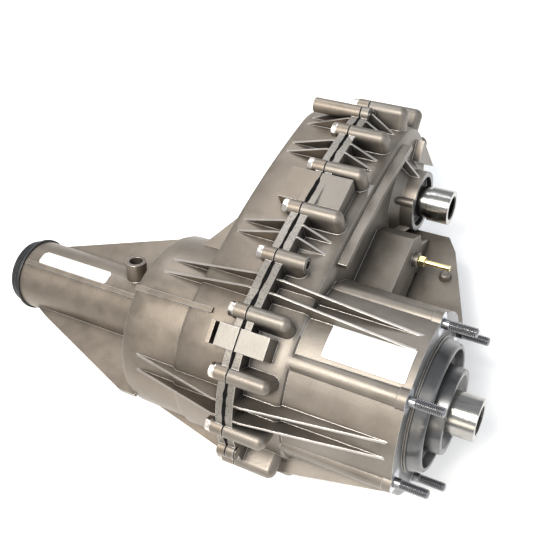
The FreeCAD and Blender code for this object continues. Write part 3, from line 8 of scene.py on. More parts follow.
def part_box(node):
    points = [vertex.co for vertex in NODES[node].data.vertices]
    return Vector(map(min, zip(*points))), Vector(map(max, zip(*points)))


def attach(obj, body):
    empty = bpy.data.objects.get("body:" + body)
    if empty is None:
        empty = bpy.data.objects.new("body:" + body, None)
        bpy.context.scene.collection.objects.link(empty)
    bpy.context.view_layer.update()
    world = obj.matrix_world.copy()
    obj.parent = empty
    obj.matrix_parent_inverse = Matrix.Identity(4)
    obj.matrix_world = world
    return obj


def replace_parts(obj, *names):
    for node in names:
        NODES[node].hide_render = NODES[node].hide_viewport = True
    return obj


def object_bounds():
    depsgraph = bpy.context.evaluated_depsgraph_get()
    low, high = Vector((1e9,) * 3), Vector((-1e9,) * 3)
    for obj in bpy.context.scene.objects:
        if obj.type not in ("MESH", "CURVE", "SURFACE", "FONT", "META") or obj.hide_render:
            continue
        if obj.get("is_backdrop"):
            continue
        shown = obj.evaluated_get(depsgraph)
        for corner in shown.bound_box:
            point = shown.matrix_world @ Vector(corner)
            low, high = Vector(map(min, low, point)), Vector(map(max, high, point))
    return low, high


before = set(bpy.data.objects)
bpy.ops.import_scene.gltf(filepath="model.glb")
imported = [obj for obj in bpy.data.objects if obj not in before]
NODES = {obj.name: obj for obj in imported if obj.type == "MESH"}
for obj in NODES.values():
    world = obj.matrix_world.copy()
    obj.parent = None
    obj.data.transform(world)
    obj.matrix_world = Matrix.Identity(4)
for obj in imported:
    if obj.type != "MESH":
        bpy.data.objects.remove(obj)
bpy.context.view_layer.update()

MM = 0.001
SAME_PLACE = 1e-6                   # corners closer than this, in metres, are one corner
CRISP_ANGLE = math.radians(32)      # edges that bend more than this stay crisp


# Node graph helpers

class Graph(object):
    """Short calls for building one material's node tree."""

    BEVEL_SAMPLES, HOLLOW_SAMPLES = 6, 8
    EDGE_NONE, EDGE_FULL = 0.995, 0.86      # rounded normal times flat normal, off and on an edge

    def __init__(self, name):
        self.material = bpy.data.materials.new(name)
        self.material.use_nodes = True
        self.tree = self.material.node_tree
        self.tree.nodes.clear()
        out = self.node("ShaderNodeOutputMaterial")
        self.shader = self.node("ShaderNodeBsdfPrincipled")
        self.link(self.shader.outputs[0], out.inputs[0])
        self.place = self.node("ShaderNodeTexCoord").outputs["Object"]

    def node(self, kind, **values):
        made = self.tree.nodes.new(kind)
        for key, value in values.items():
            setattr(made, key, value)
        return made

    def link(self, a, b):
        self.tree.links.new(a, b)

    def put(self, socket, value):
        """Link an output to a socket, or set the socket to a number or a colour."""
        if hasattr(value, "links"):
            self.link(value, socket)
        elif isinstance(value, (tuple, list)):
            missing = len(socket.default_value) - len(value)
            socket.default_value = tuple(value) + (1.0,) * missing
        else:
            socket.default_value = value

    def noise(self, scale, detail, rough=0.55, stretch=None):
        where = self.place
        if stretch:
            mapping = self.node("ShaderNodeMapping")
            self.link(self.place, mapping.inputs["Vector"])
            mapping.inputs["Scale"].default_value = stretch
            where = mapping.outputs[0]
        made = self.node("ShaderNodeTexNoise")
        made.inputs["Scale"].default_value = scale
        made.inputs["Detail"].default_value = detail
        made.inputs["Roughness"].default_value = rough
        self.link(where, made.inputs["Vector"])
        return made.outputs["Fac"]

    def math(self, operation, a, b, clamp=False):
        made = self.node("ShaderNodeMath", operation=operation, use_clamp=clamp)
        self.put(made.inputs[0], a)
        self.put(made.inputs[1], b)
        return made.outputs[0]

    def spread(self, value, low, high, to_low=0.0, to_high=1.0):
        """Map the range low to high onto to_low to to_high, and hold it there outside."""
        made = self.node("ShaderNodeMapRange")
        made.clamp = True
        self.put(made.inputs["Value"], value)
        made.inputs["From Min"].default_value = low
        made.inputs["From Max"].default_value = high
        made.inputs["To Min"].default_value = to_low
        made.inputs["To Max"].default_value = to_high
        return made.outputs[0]

    def mix(self, factor, a, b):
        made = self.node("ShaderNodeMix", data_type="RGBA")
        self.put(made.inputs[0], factor)
        self.put(made.inputs[6], a)
        self.put(made.inputs[7], b)
        return made.outputs[2]

    def bump(self, height, distance, strength, normal=None):
        made = self.node("ShaderNodeBump")
        made.inputs["Distance"].default_value = distance
        made.inputs["Strength"].default_value = strength
        self.link(height, made.inputs["Height"])
        if normal is not None:
            self.link(normal, made.inputs["Normal"])
        return made.outputs[0]

    def edge(self, radius):
        """Rounded normals near edges, and a mask that is one on the edge itself."""
        rounded = self.node("ShaderNodeBevel", samples=self.BEVEL_SAMPLES)
        rounded.inputs["Radius"].default_value = radius
        flat = self.node("ShaderNodeNewGeometry").outputs["Normal"]
        dot = self.node("ShaderNodeVectorMath", operation="DOT_PRODUCT")
        self.link(rounded.outputs[0], dot.inputs[0])
        self.link(flat, dot.inputs[1])
        mask = self.spread(dot.outputs["Value"], self.EDGE_NONE, self.EDGE_FULL)
        return rounded.outputs[0], mask

    def hollow(self, distance):
        """A mask that is near zero in corners and recesses."""
        made = self.node("ShaderNodeAmbientOcclusion", samples=self.HOLLOW_SAMPLES)
        made.inputs["Distance"].default_value = distance
        return made.outputs["AO"]

    def finish(self, **sockets):
        for name, value in sockets.items():
            self.put(self.shader.inputs[name.replace("_", " ")], value)
        return self.material


def scaled(color, share):
    return tuple(share * c for c in color)


# colour of lightened casting edges: rubbed metal and painted highlight
RUBBED_METAL_AND_HIGHLIGHT = (0.80, 0.76, 0.72)
DUST = (0.10, 0.10, 0.10)
TOOL_LINES = (60.0, 900.0, 900.0)                   # stretch of the noise along each axis
SPOT_CLEAN, SPOT_END = 12.5 * MM, 15.5 * MM         # from a clean spot's centre


def cast_metal(name, dark, light, shade_and_pit_color, pits=0.0, wear_and_highlight=0.8):
    """Coated light-alloy casting: sand grain, cloudy tint, edges lightened as rubbed wear and
    painted highlight, painted shade in corners and recesses.
    """
    g = Graph(name)
    rounded, edge = g.edge(1.1 * MM)
    cloud = g.noise(9.0, 5.0, 0.6)
    blotch = g.noise(34.0, 4.0, 0.6)
    grain = g.noise(1700.0, 3.0, 0.6)
    skin = g.noise(420.0, 3.0, 0.5)
    tone = g.math("ADD", g.math("MULTIPLY", cloud, 0.6), g.math("MULTIPLY", blotch, 0.4))
    color = g.mix(g.spread(tone, 0.36, 0.64), dark, light)
    # painted shade: corners and recesses darkened towards a near-black, which is also the colour of
    # the pits
    painted_shade = g.spread(g.hollow(16 * MM), 0.80, 0.25, 0.0, 0.85)
    color = g.mix(painted_shade, color, shade_and_pit_color)
    speck = g.spread(g.noise(900.0, 2.0, 0.5), 0.62, 0.75, 0.0, 0.35)
    color = g.mix(speck, color, scaled(light, 1.25))
    if pits:
        holes = g.spread(g.noise(520.0, 3.0, 0.7), 0.52, 0.68, 0.0, pits)
        color = g.mix(holes, color, shade_and_pit_color)
    # edges lighter, partly as rubbed wear and partly as painted highlight; they also get less rough
    rubbing = g.spread(g.noise(90.0, 3.0, 0.6), 0.22, 0.60, 0.35, 1.0)
    rubbed_and_highlit = g.math("MULTIPLY", edge, rubbing, clamp=True)
    color = g.mix(g.math("MULTIPLY", rubbed_and_highlit, wear_and_highlight), color, RUBBED_METAL_AND_HIGHLIGHT)
    dull = g.spread(blotch, 0.3, 0.7, 0.40, 0.54)
    rough = g.math("SUBTRACT", dull, g.math("MULTIPLY", rubbed_and_highlit, 0.12))
    height = g.math("ADD", g.math("MULTIPLY", grain, 0.35), skin)
    return g.finish(Base_Color=color, Metallic=0.80, Roughness=rough,
                    Normal=g.bump(height, 0.22 * MM, 0.55, rounded))


def machined_metal(name, color, roughness, tarnish=0.25, radius=0.5, spots=(), spot_color=None):
    """Cut metal: fine tool lines, soft tarnish, painted highlight on the edges, painted shade in
    corners, and clean spots at given places.
    """
    g = Graph(name)
    rounded, edge = g.edge(radius * MM)
    lines = g.noise(6.0, 3.0, 0.7, TOOL_LINES)
    stain = g.noise(60.0, 4.0, 0.6)
    shade = g.mix(g.spread(lines, 0.3, 0.7), scaled(color, 0.82), color)
    if spots:
        near = 1.0
        for spot in spots:
            gap = g.node("ShaderNodeVectorMath", operation="DISTANCE")
            g.link(g.place, gap.inputs[0])
            gap.inputs[1].default_value = spot
            near = g.math("MINIMUM", gap.outputs["Value"], near)
        shade = g.mix(g.spread(near, SPOT_END, SPOT_CLEAN), shade, spot_color)
    shade = g.mix(g.spread(stain, 0.5, 0.75, 0.0, tarnish), shade, scaled(color, 0.45))
    # painted highlight: every edge lighter
    bright = tuple(min(1.0, 1.2 * c + 0.1) for c in color)
    shade = g.mix(g.math("MULTIPLY", edge, 0.5), shade, bright)
    # painted shade: corners and recesses darker
    painted_shade = g.spread(g.hollow(6 * MM), 0.8, 0.3, 0.0, 0.7)
    shade = g.mix(painted_shade, shade, scaled(color, 0.25))
    texture = g.math("ADD", lines, stain)
    rough = g.spread(texture, 0.7, 1.3, roughness * 0.75, roughness * 1.3)
    return g.finish(Base_Color=shade, Metallic=1.0, Roughness=rough,
                    Normal=g.bump(lines, 0.06 * MM, 0.5, rounded))


def rubber(name, color, roughness, gloss=0.5):
    """Matt black rubber with a fine mottle and dust on raised edges."""
    g = Graph(name)
    rounded, edge = g.edge(0.6 * MM)
    mottle = g.noise(300.0, 4.0, 0.6)
    pale = tuple(c * 2.2 + 0.004 for c in color)
    shade = g.mix(g.spread(mottle, 0.4, 0.7), color, pale)
    shade = g.mix(g.math("MULTIPLY", edge, 0.3), shade, DUST)
    rough = g.spread(mottle, 0.3, 0.7, roughness - 0.08, roughness + 0.1)
    return g.finish(Base_Color=shade, Roughness=rough, Specular_IOR_Level=gloss,
                    Normal=g.bump(mottle, 0.12 * MM, 0.5, rounded))


def paper(name, dark, light):
    """White sticker stock with faint fibres and a slight waviness."""
    g = Graph(name)
    fibre = g.noise(900.0, 4.0, 0.7)
    wave = g.noise(45.0, 2.0, 0.5)
    shade = g.mix(g.spread(fibre, 0.35, 0.7), dark, light)
    height = g.math("ADD", g.math("MULTIPLY", fibre, 0.12), wave)
    return g.finish(Base_Color=shade, Roughness=g.spread(wave, 0.3, 0.7, 0.38, 0.52),
                    Normal=g.bump(height, 0.3 * MM, 0.4))


CAST = cast_metal("cast_coated", (0.150, 0.132, 0.112), (0.225, 0.203, 0.178),
                  (0.017, 0.017, 0.020))
REAR_CAST = cast_metal("cast_rear", (0.150, 0.125, 0.099), (0.236, 0.201, 0.166),
                       (0.020, 0.017, 0.016))
# lighter copies of the casting for the gusset crests: painted highlight, duller on the rear
CREST_HIGHLIGHT = cast_metal("cast_crest_painted_highlight", (0.34, 0.32, 0.30), (0.52, 0.49, 0.47),
                   (0.06, 0.06, 0.06), wear_and_highlight=0.35)
DULL_CREST_HIGHLIGHT = cast_metal("cast_dull_crest_painted_highlight", (0.22, 0.20, 0.175), (0.33, 0.30, 0.27),
                        (0.04, 0.04, 0.04), wear_and_highlight=0.3)
RIM = cast_metal("cast_rim", (0.185, 0.168, 0.150), (0.270, 0.250, 0.225),
                 (0.04, 0.036, 0.032), pits=0.75)
PAD = cast_metal("cast_pad", (0.165, 0.155, 0.140), (0.225, 0.210, 0.190),
                 (0.05, 0.05, 0.05))
MACHINED = machined_metal("machined_alloy", (0.74, 0.74, 0.73), 0.34)
POLISHED = machined_metal("polished_steel", (0.36, 0.35, 0.33), 0.20)
DARK_STEEL = machined_metal("phosphate_steel", (0.26, 0.26, 0.27), 0.30, tarnish=0.5)
ZINC = machined_metal("bright_zinc", (0.66, 0.61, 0.57), 0.30, tarnish=0.35)
BRASS = machined_metal("brass_turned", (0.86, 0.73, 0.36), 0.24, tarnish=0.15)
BRONZE = machined_metal("bronze_bush", (0.56, 0.42, 0.25), 0.4)
RETAINER = machined_metal("retainer_alloy", (0.150, 0.150, 0.152), 0.33,
                          tarnish=0.55, radius=1.8)
SEAL = rubber("seal_rubber", (0.006, 0.006, 0.007), 0.50)
# black sealant; the same material makes the painted shadow in the boss bore
SEALANT_AND_SHADOW_BLACK = rubber("sealant_and_shadow_black", (0.002, 0.002, 0.002), 0.80, 0.08)
LABEL = paper("label_paper", (0.53, 0.53, 0.525), (0.60, 0.60, 0.595))


# Mesh helpers

def smooth_group():
    """A modifier tree that shades smooth and keeps sharp edges crisp."""
    tree = bpy.data.node_groups.new("soft_shading", "GeometryNodeTree")
    for direction in ("INPUT", "OUTPUT"):
        tree.interface.new_socket("Geometry", in_out=direction, socket_type="NodeSocketGeometry")
    start = tree.nodes.new("NodeGroupInput")
    end = tree.nodes.new("NodeGroupOutput")
    angle = tree.nodes.new("GeometryNodeInputMeshEdgeAngle")
    sharp = tree.nodes.new("FunctionNodeCompare")
    sharp.inputs[1].default_value = CRISP_ANGLE
    faces = tree.nodes.new("GeometryNodeSetShadeSmooth")
    faces.domain = "FACE"
    edges = tree.nodes.new("GeometryNodeSetShadeSmooth")
    edges.domain = "EDGE"
    edges.inputs["Shade Smooth"].default_value = False
    tree.links.new(start.outputs[0], faces.inputs["Geometry"])
    tree.links.new(faces.outputs[0], edges.inputs["Geometry"])
    tree.links.new(angle.outputs["Unsigned Angle"], sharp.inputs[0])
    tree.links.new(sharp.outputs[0], edges.inputs["Selection"])
    tree.links.new(edges.outputs[0], end.inputs[0])
    return tree


SOFT_SHADING = smooth_group()


def shade_soft(obj, weld=True):
    if obj.data.attributes.get("custom_normal"):
        obj.data.attributes.remove(obj.data.attributes["custom_normal"])
    if weld:
        modifier = obj.modifiers.new("weld", "WELD")
        modifier.merge_threshold = SAME_PLACE
    modifier = obj.modifiers.new("soft", "NODES")
    modifier.node_group = SOFT_SHADING


def dress(node, *materials):
    """Give a carried-over node its materials, the first one on every face."""
    obj = NODES[node]
    obj.data.materials.clear()
    for material in materials:
        obj.data.materials.append(material)
    obj.data.polygons.foreach_set("material_index", [0] * len(obj.data.polygons))
    shade_soft(obj)


def solid(name, shape, material, body):
    """A new piece from a shape's corners and faces, on a body and with a slot."""
    mesh = bpy.data.meshes.new(name)
    mesh.from_pydata(shape.verts, [], shape.faces)
    mesh.validate()
    made = bmesh.new()
    made.from_mesh(mesh)
    bmesh.ops.recalc_face_normals(made, faces=made.faces)
    made.to_mesh(mesh)
    made.free()
    mesh.materials.append(material)
    obj = bpy.data.objects.new(name, mesh)
    bpy.context.scene.collection.objects.link(obj)
    shade_soft(obj, weld=False)
    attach(obj, body)
    return obj


def box_of(points):
    """The low and high corners of a set of points."""
    low, high = (Vector([pick(p[i] for p in points) for i in range(3)]) for pick in (min, max))
    return low, high


def welded(node):
    """A node's mesh with its corners joined, and the layer that holds each face's own number."""
    work = bmesh.new()
    work.from_mesh(NODES[node].data)
    number = work.faces.layers.int.new("number")
    for face in work.faces:
        face[number] = face.index
    bmesh.ops.remove_doubles(work, verts=work.verts, dist=SAME_PLACE)
    return work, number


def islands(node):
    """Boxes of a node's separate solids, as (low, high) corners."""
    work, _ = welded(node)
    seen, found = set(), []
    for first in work.verts:
        if first in seen:
            continue
        stack, group = [first], []
        seen.add(first)
        while stack:
            vert = stack.pop()
            group.append(vert.co)
            for edge in vert.link_edges:
                other = edge.other_vert(vert)
                if other not in seen:
                    seen.add(other)
                    stack.append(other)
        found.append(box_of(group))
    work.free()
    return sorted(found, key=lambda box: (round(box[0].y, 4), round(box[0].z, 4)))


def centre(low, high):
    """The middle of a box, as (Y, Z)."""
    return (low.y + high.y) / 2, (low.z + high.z) / 2


class Shape(object):
    """Collects the corners and faces of one piece."""

    def __init__(self):
        self.verts = []
        self.faces = []

    def rings(self, rows, y, z, closed=False):
        """A form round an axis along X, from rows of (station, each corner's distance from it).

        It has a face at both ends, unless it is closed: then the last row joins the first.
        """
        base, count = len(self.verts), len(rows[0][1])
        for x, radii in rows:
            for k, r in enumerate(radii):
                a = 2 * math.pi * k / count
                self.verts.append((x, y + r * math.cos(a), z + r * math.sin(a)))
        starts = [base + s * count for s in range(len(rows))]
        following = starts[1:] + starts[:1] if closed else starts[1:]
        for a, b in zip(starts, following):
            for k in range(count):
                n = (k + 1) % count
                self.faces.append((a + k, a + n, b + n, b + k))
        if not closed:
            for a in (starts[0], starts[-1]):
                self.faces.append(tuple(range(a, a + count)))

    def lathe(self, profile, count, y, z, closed=False):
        """A turned form from (station, radius) points."""
        self.rings([(x, [r] * count) for x, r in profile], y, z, closed)


def in_mm(profile, start=0.0):
    """A profile that is written in millimetres from a start, as (station, radius) in metres."""
    return [(start + x * MM, r * MM) for x, r in profile]


OUTLINE_STEP = 1.4 * MM


def joint_outline():
    """The outer outline of the joint, as evenly spaced (Y, Z) points in order."""
    work, _ = welded("case_sealant")
    front = max(v.co.x for v in work.verts)
    rim = [e for e in work.edges if all(abs(v.co.x - front) < SAME_PLACE for v in e.verts)
           and any(abs(f.normal.x) < 0.5 for f in e.link_faces)
           and any(abs(f.normal.x) > 0.5 for f in e.link_faces)]
    near = {}
    for e in rim:
        for v in e.verts:
            near.setdefault(v, []).append(e.other_vert(v))
    loops, seen = [], set()
    for first in near:
        if first in seen:
            continue
        loop, at = [], first
        while at is not None and at not in seen:
            seen.add(at)
            loop.append((at.co.y, at.co.z))
            at = next((v for v in near[at] if v not in seen), None)
        loops.append(loop)
    work.free()
    outer = max(loops, key=lambda loop: max(p[0] for p in loop) - min(p[0] for p in loop))
    points = [Vector(p) for p in outer]
    spaced = []
    for a, b in zip(points, points[1:] + points[:1]):
        count = max(1, round((b - a).length / OUTLINE_STEP))
        spaced += [a.lerp(b, k / count) for k in range(count)]
    return spaced


JOINT = joint_outline()


# Finishes of the carried-over nodes

STUD_PLACES = [(0.0,) + centre(low, high) for low, high in islands("adapter_studs")]
FACE = machined_metal("milled_face", (0.24, 0.24, 0.245), 0.40, tarnish=0.6, spots=STUD_PLACES,
                      spot_color=(0.60, 0.62, 0.66))
PLAIN, LIT_CREST, PITTED, PLATE, MILLED = range(5)     # places in the two castings' material lists
dress("front_case", CAST, CREST_HIGHLIGHT, RIM, PAD, FACE)
dress("rear_case", REAR_CAST, DULL_CREST_HIGHLIGHT, RIM, PAD)
FINISH = {
    "case_sealant": SEALANT_AND_SHADOW_BLACK, "dowel_pins": POLISHED, "input_retainer": RETAINER,
    "input_seal": SEAL, "output_seal": SEAL, "tail_seal": SEAL, "tail_bushing": BRONZE,
    "ball_bearings": POLISHED, "annulus_gear": POLISHED, "drive_chain": DARK_STEEL,
    "shift_rail": POLISHED, "vent_fitting": BRASS, "case_plugs": ZINC,
    "oil_pump_housing": MACHINED, "input_gear": POLISHED, "mainshaft": POLISHED,
    "oil_pump_rotor": POLISHED, "tone_ring": DARK_STEEL, "planet_carrier": POLISHED,
    "planet_gear_1": POLISHED, "planet_gear_2": POLISHED, "planet_gear_3": POLISHED,
    "drive_sprocket": POLISHED, "front_output_shaft": POLISHED, "driven_sprocket": POLISHED,
    "range_sleeve": POLISHED, "range_fork": MACHINED, "mode_sleeve": POLISHED,
    "mode_fork": MACHINED, "shift_sector": DARK_STEEL,
}
for node, material in FINISH.items():
    dress(node, material)

SAME_PLANE, SHARP_TURN = 0.9998, 0.85       # one normal times the other, across an edge


def flat_patches(node):
    """Groups of faces in one plane: (face numbers, low, high, normal, area, sharp).

    sharp is the share of a group's outline where the surface turns sharply.
    """
    work, number = welded(node)
    work.normal_update()
    found, seen = [], set()
    for first in work.faces:
        if first in seen:
            continue
        seen.add(first)
        group, stack = [], [first]
        sharp = around = 0.0
        while stack:
            face = stack.pop()
            group.append(face)
            for edge in face.edges:
                for other in edge.link_faces:
                    if other is face:
                        continue
                    level = other.normal.dot(first.normal)
                    if level <= SAME_PLANE:
                        around += edge.calc_length()
                        sharp += edge.calc_length() if level < SHARP_TURN else 0.0
                    elif other not in seen:
                        seen.add(other)
                        stack.append(other)
        low, high = box_of([v.co for face in group for v in face.verts])
        found.append(([face[number] for face in group], low, high, first.normal.copy(),
                      sum(face.calc_area() for face in group), sharp / max(around, 1e-9)))
    work.free()
    return found


FACING, NEARLY_FACING, ASIDE = 0.95, 0.9, 0.1       # how much a normal points along X
MOSTLY_SHARP, ALL_SHARP = 0.8, 0.9                  # sharp share of a patch's outline
CREST_LENGTH, CREST_WIDTH = 12 * MM, 4.2 * MM       # shortest and broadest bright crest
JOINT_BAND, JOINT_GAP = 11 * MM, 2.5 * MM           # along X and off the outline
SMOOTH_RIM_Y, SMOOTH_RIM_Z = (130 * MM, 172 * MM), 120 * MM
PLATE_Y, PLATE_Z, PLATE_AREA = (-57 * MM, -34 * MM), 118 * MM, 0.0004
INPUT_FACE_X = -1.5 * MM                            # the mounting face lies before it
OUTPUT_FACE_X, OUTPUT_FACE_AREA = -0.095, 0.006


def patch_finish(in_front, parting, low, high, normal, area, sharp):
    """The number of the material on one flat patch."""
    middle = (low + high) / 2
    length = (high - low).length
    from_outline = min(math.hypot(middle.y - p.x, middle.z - p.y) for p in JOINT)
    at_joint = abs(middle.x - parting) < JOINT_BAND and from_outline < JOINT_GAP
    narrow = length > CREST_LENGTH and area / length < CREST_WIDTH
    # narrow crests with sharp outlines get the lighter copy: painted highlight
    if sharp > MOSTLY_SHARP and narrow and abs(normal.x) < FACING:
        return LIT_CREST
    if abs(normal.x) < ASIDE and at_joint:
        smooth = SMOOTH_RIM_Y[0] < middle.y < SMOOTH_RIM_Y[1] and middle.z > SMOOTH_RIM_Z
        return PLAIN if smooth else PITTED
    on_plate = PLATE_Y[0] < middle.y < PLATE_Y[1] and middle.z > PLATE_Z
    if sharp > ALL_SHARP and area > PLATE_AREA and on_plate:
        return PLATE
    at_output = abs(middle.x - OUTPUT_FACE_X) < 1 * MM and area < OUTPUT_FACE_AREA
    if in_front and normal.x > NEARLY_FACING and (middle.x > INPUT_FACE_X or at_output):
        return MILLED
    return PLAIN


def dress_castings():
    """Gusset crests in a lighter copy of the casting as painted highlight, pitted rims at the
    joint, a clean pad, milled faces at both shafts.
    """
    joint_low, joint_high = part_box("case_sealant")
    parting = (joint_low.x + joint_high.x) / 2
    for node in ("front_case", "rear_case"):
        polygons = NODES[node].data.polygons
        for numbers, *patch in flat_patches(node):
            index = patch_finish(node == "front_case", parting, *patch)
            for n in numbers:
                polygons[n].material_index = index


dress_castings()


# Adapter studs: plain collar, rolled thread, domed end

STUD_SIDES, STEPS_PER_TURN = 28, 6
PITCH, THREAD_DEPTH = 2.0 * MM, 1.15 * MM
THREAD_START, RUN_IN, POINT = 7.0 * MM, 1.2 * MM, 3.2 * MM     # run-in and domed point: lengths
NECK, POINT_DROP = 0.9, 0.72        # radius where the run-in starts, and how round the point is


def stud_radius(x, radius, end):
    """The stud's radius at a station: the thread starts softly and ends in a dome."""
    if x <= THREAD_START:
        return radius
    thread = radius - THREAD_DEPTH * abs(2 * (x / PITCH % 1.0) - 1)
    lead = max(0.0, (x - (end - POINT)) / POINT)
    point = radius * math.sqrt(max(0.05, 1.0 - POINT_DROP * lead * lead))
    start = max(0.0, min(1.0, (x - THREAD_START) / RUN_IN))
    return min(thread, point) * start + radius * NECK * (1 - start)


studs = Shape()
for low, high in islands("adapter_studs"):
    radius, end = (high.z - low.z) / 2, high.x
    threaded = end - THREAD_START
    steps = int(threaded / (PITCH / STEPS_PER_TURN))
    stations = [low.x, THREAD_START]
    stations += [THREAD_START + threaded * (k + 1) / steps for k in range(steps)]
    profile = [(x, stud_radius(x, radius, end)) for x in stations]
    studs.lathe(profile, STUD_SIDES, *centre(low, high))
stud_piece = solid("adapter_stud_threads", studs, DARK_STEEL, "case")
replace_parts(stud_piece, "adapter_studs")


# Case bolts: washer-faced hexagon heads with a turned crown

HEAD_SIDES, WASHER_SIDES = 48, 32
HALF_FLAT = 7.4 * MM                                            # half the width across flats
CROWN_TOP, CROWN_RISE, CROWN_DEPTH = 6.5 * MM, 2.1 * MM, 1.1 * MM
HEAD_STATIONS = (0.0, 0.15, 0.4, 0.75, 1.1, 5.4)
WASHER = ((5.3, 8.3), (5.9, 8.75), (7.0, 8.75), (7.0, 5.0))
SHANK = 5.0 * MM


def head_radius(depth, angle):
    """The head's radius below its top: a hexagon, cut round by the crown."""
    side = (angle + math.pi / 6) % (math.pi / 3) - math.pi / 6
    crown = CROWN_TOP + CROWN_RISE * math.sqrt(max(0.0, min(1.0, depth / CROWN_DEPTH)))
    return min(HALF_FLAT / math.cos(side), crown)


bolts = Shape()
for low, high in islands("case_bolts"):
    y, z = centre(low, high)
    turn = math.radians(17 * len(bolts.verts) % 60)     # no two neighbours turned alike
    angles = [2 * math.pi * k / HEAD_SIDES - turn for k in range(HEAD_SIDES)]
    bolts.rings([(low.x + t * MM, [head_radius(t * MM, a) for a in angles])
                 for t in HEAD_STATIONS], y, z)
    bolts.lathe(in_mm(WASHER, low.x) + [(high.x, SHANK)], WASHER_SIDES, y, z)
bolt_piece = solid("case_bolt_heads", bolts, ZINC, "case")
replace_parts(bolt_piece, "case_bolts")


# Internal splines at the ends of both shafts

TOOTH = (0.0, 0.85, 1.0, 1.0, 0.85, 0.0)    # how far one tooth stands in, round its pitch
SPLINE_BACKING = 0.05 * MM                  # behind the tooth roots


def spline_ring(name, back, front, bore, depth, teeth, y, body):
    inner = [bore - depth * share for share in TOOTH] * teeth
    outer = [bore + SPLINE_BACKING] * len(inner)
    shape = Shape()
    shape.rings([(back, inner), (front, inner), (front, outer), (back, outer)],
                y, 0.0, closed=True)
    solid(name, shape, POLISHED, body)


input_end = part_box("input_gear")[1].x
output_low, output_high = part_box("front_output_shaft")
output_axis = (output_low.y + output_high.y) / 2
spline_ring("input_splines", back=input_end - 50 * MM, front=input_end - 1.5 * MM,
            bore=16 * MM, depth=1.6 * MM, teeth=32, y=0.0, body="input")
spline_ring("output_splines", back=output_high.x - 31 * MM, front=output_high.x - 1.2 * MM,
            bore=15 * MM, depth=1.4 * MM, teeth=28, y=output_axis, body="front_output")


# Sealant that was squeezed out of the joint

BEAD_SIDES = 10
BEAD_OUT = 0.9 * MM                         # from the outline to the middle of the bead
BROAD, SWELL, DRIFT, FINE = 45.0, 80.0, 70.0, 160.0     # waves of the unevenness, per metre


def sealant_bead():
    """An uneven black bead that stands out of the joint all round."""
    low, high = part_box("case_sealant")
    middle = (low.x + high.x) / 2
    shape = Shape()
    count = len(JOINT)
    area = sum(a.x * b.y - b.x * a.y for a, b in zip(JOINT, JOINT[1:] + JOINT[:1]))
    outward = 1 if area > 0 else -1
    for i, point in enumerate(JOINT):
        along = (JOINT[(i + 1) % count] - JOINT[i - 1]).normalized()
        out = Vector((along.y, -along.x)) * outward
        place = Vector((0.0, point.x, point.y))
        broad = noise.noise(place * BROAD)
        fine = noise.noise(place * FINE + Vector((5, 0, 0)))
        swell = noise.noise(place * SWELL + Vector((9, 0, 0)))
        half_width = max(0.8, 2.15 + 1.6 * broad + 1.0 * fine) * MM
        proud = (0.85 + 0.55 * swell + 0.3 * fine) * MM
        drift = 0.7 * MM * noise.noise(place * DRIFT + Vector((0, 4, 0)))
        for k in range(BEAD_SIDES):
            a = 2 * math.pi * k / BEAD_SIDES
            push = BEAD_OUT + proud * math.cos(a)
            shape.verts.append((middle + drift + half_width * math.sin(a),
                                point.x + out.x * push, point.y + out.y * push))
    for i in range(count):
        a, b = i * BEAD_SIDES, (i + 1) % count * BEAD_SIDES
        for k in range(BEAD_SIDES):
            m = (k + 1) % BEAD_SIDES
            shape.faces.append((a + k, a + m, b + m, b + k))
    return solid("sealant_bead", shape, SEALANT_AND_SHADOW_BLACK, "case")


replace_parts(sealant_bead(), "case_sealant")


# Seals: on both shafts a pressed ring with a ribbed rubber face and lip, on the tail a grooved boot

SEAL_SIDES, BOOT_SIDES = 72, 96
RING_WIDTH = 3 * MM
RING_CORNER, RING_PROUD = 0.8 * MM, 1.4 * MM        # how far its edge and its top stand out
FACE_DEPTH, RIDGE = 0.6 * MM, 0.9 * MM      # how deep the rubber lies, and how high its ribs are
RIB_STEPS, RIB_COUNT = 16, 3
LIP_START, LIP_SLOPE = 0.55, 2.6 * MM       # where the face turns out, and how fast


def seal_face(node):
    low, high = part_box(node)
    y = (low.y + high.y) / 2
    outer = (high.z - low.z) / 2
    inner = outer - RING_WIDTH
    bore = min(math.hypot(v.co.y - y, v.co.z) for v in NODES[node].data.vertices)
    back, front = low.x, high.x
    ring = Shape()
    top = front + RING_PROUD
    ring.lathe([(back, inner), (back, outer), (front + RING_CORNER, outer),
                (top, outer - 0.6 * MM), (top, outer - 2.4 * MM), (front, inner)],
               SEAL_SIDES, y, 0.0, closed=True)
    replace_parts(solid(node + "_ring", ring, RETAINER, "case"), node)
    face = Shape()
    profile = [(back, inner), (front - FACE_DEPTH, inner)]
    for k in range(1, RIB_STEPS):
        share = k / RIB_STEPS
        ridge = RIDGE * abs(math.sin(share * RIB_COUNT * math.pi))
        lip = LIP_SLOPE * max(0.0, share - LIP_START)
        profile.append((front - FACE_DEPTH + ridge + lip, inner - (inner - bore) * share))
    profile += [(front + 1.6 * MM, bore + 0.9 * MM), (front + 1.0 * MM, bore), (back, bore)]
    face.lathe(profile, SEAL_SIDES, y, 0.0, closed=True)
    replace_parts(solid(node + "_lip", face, SEAL, "case"), node)


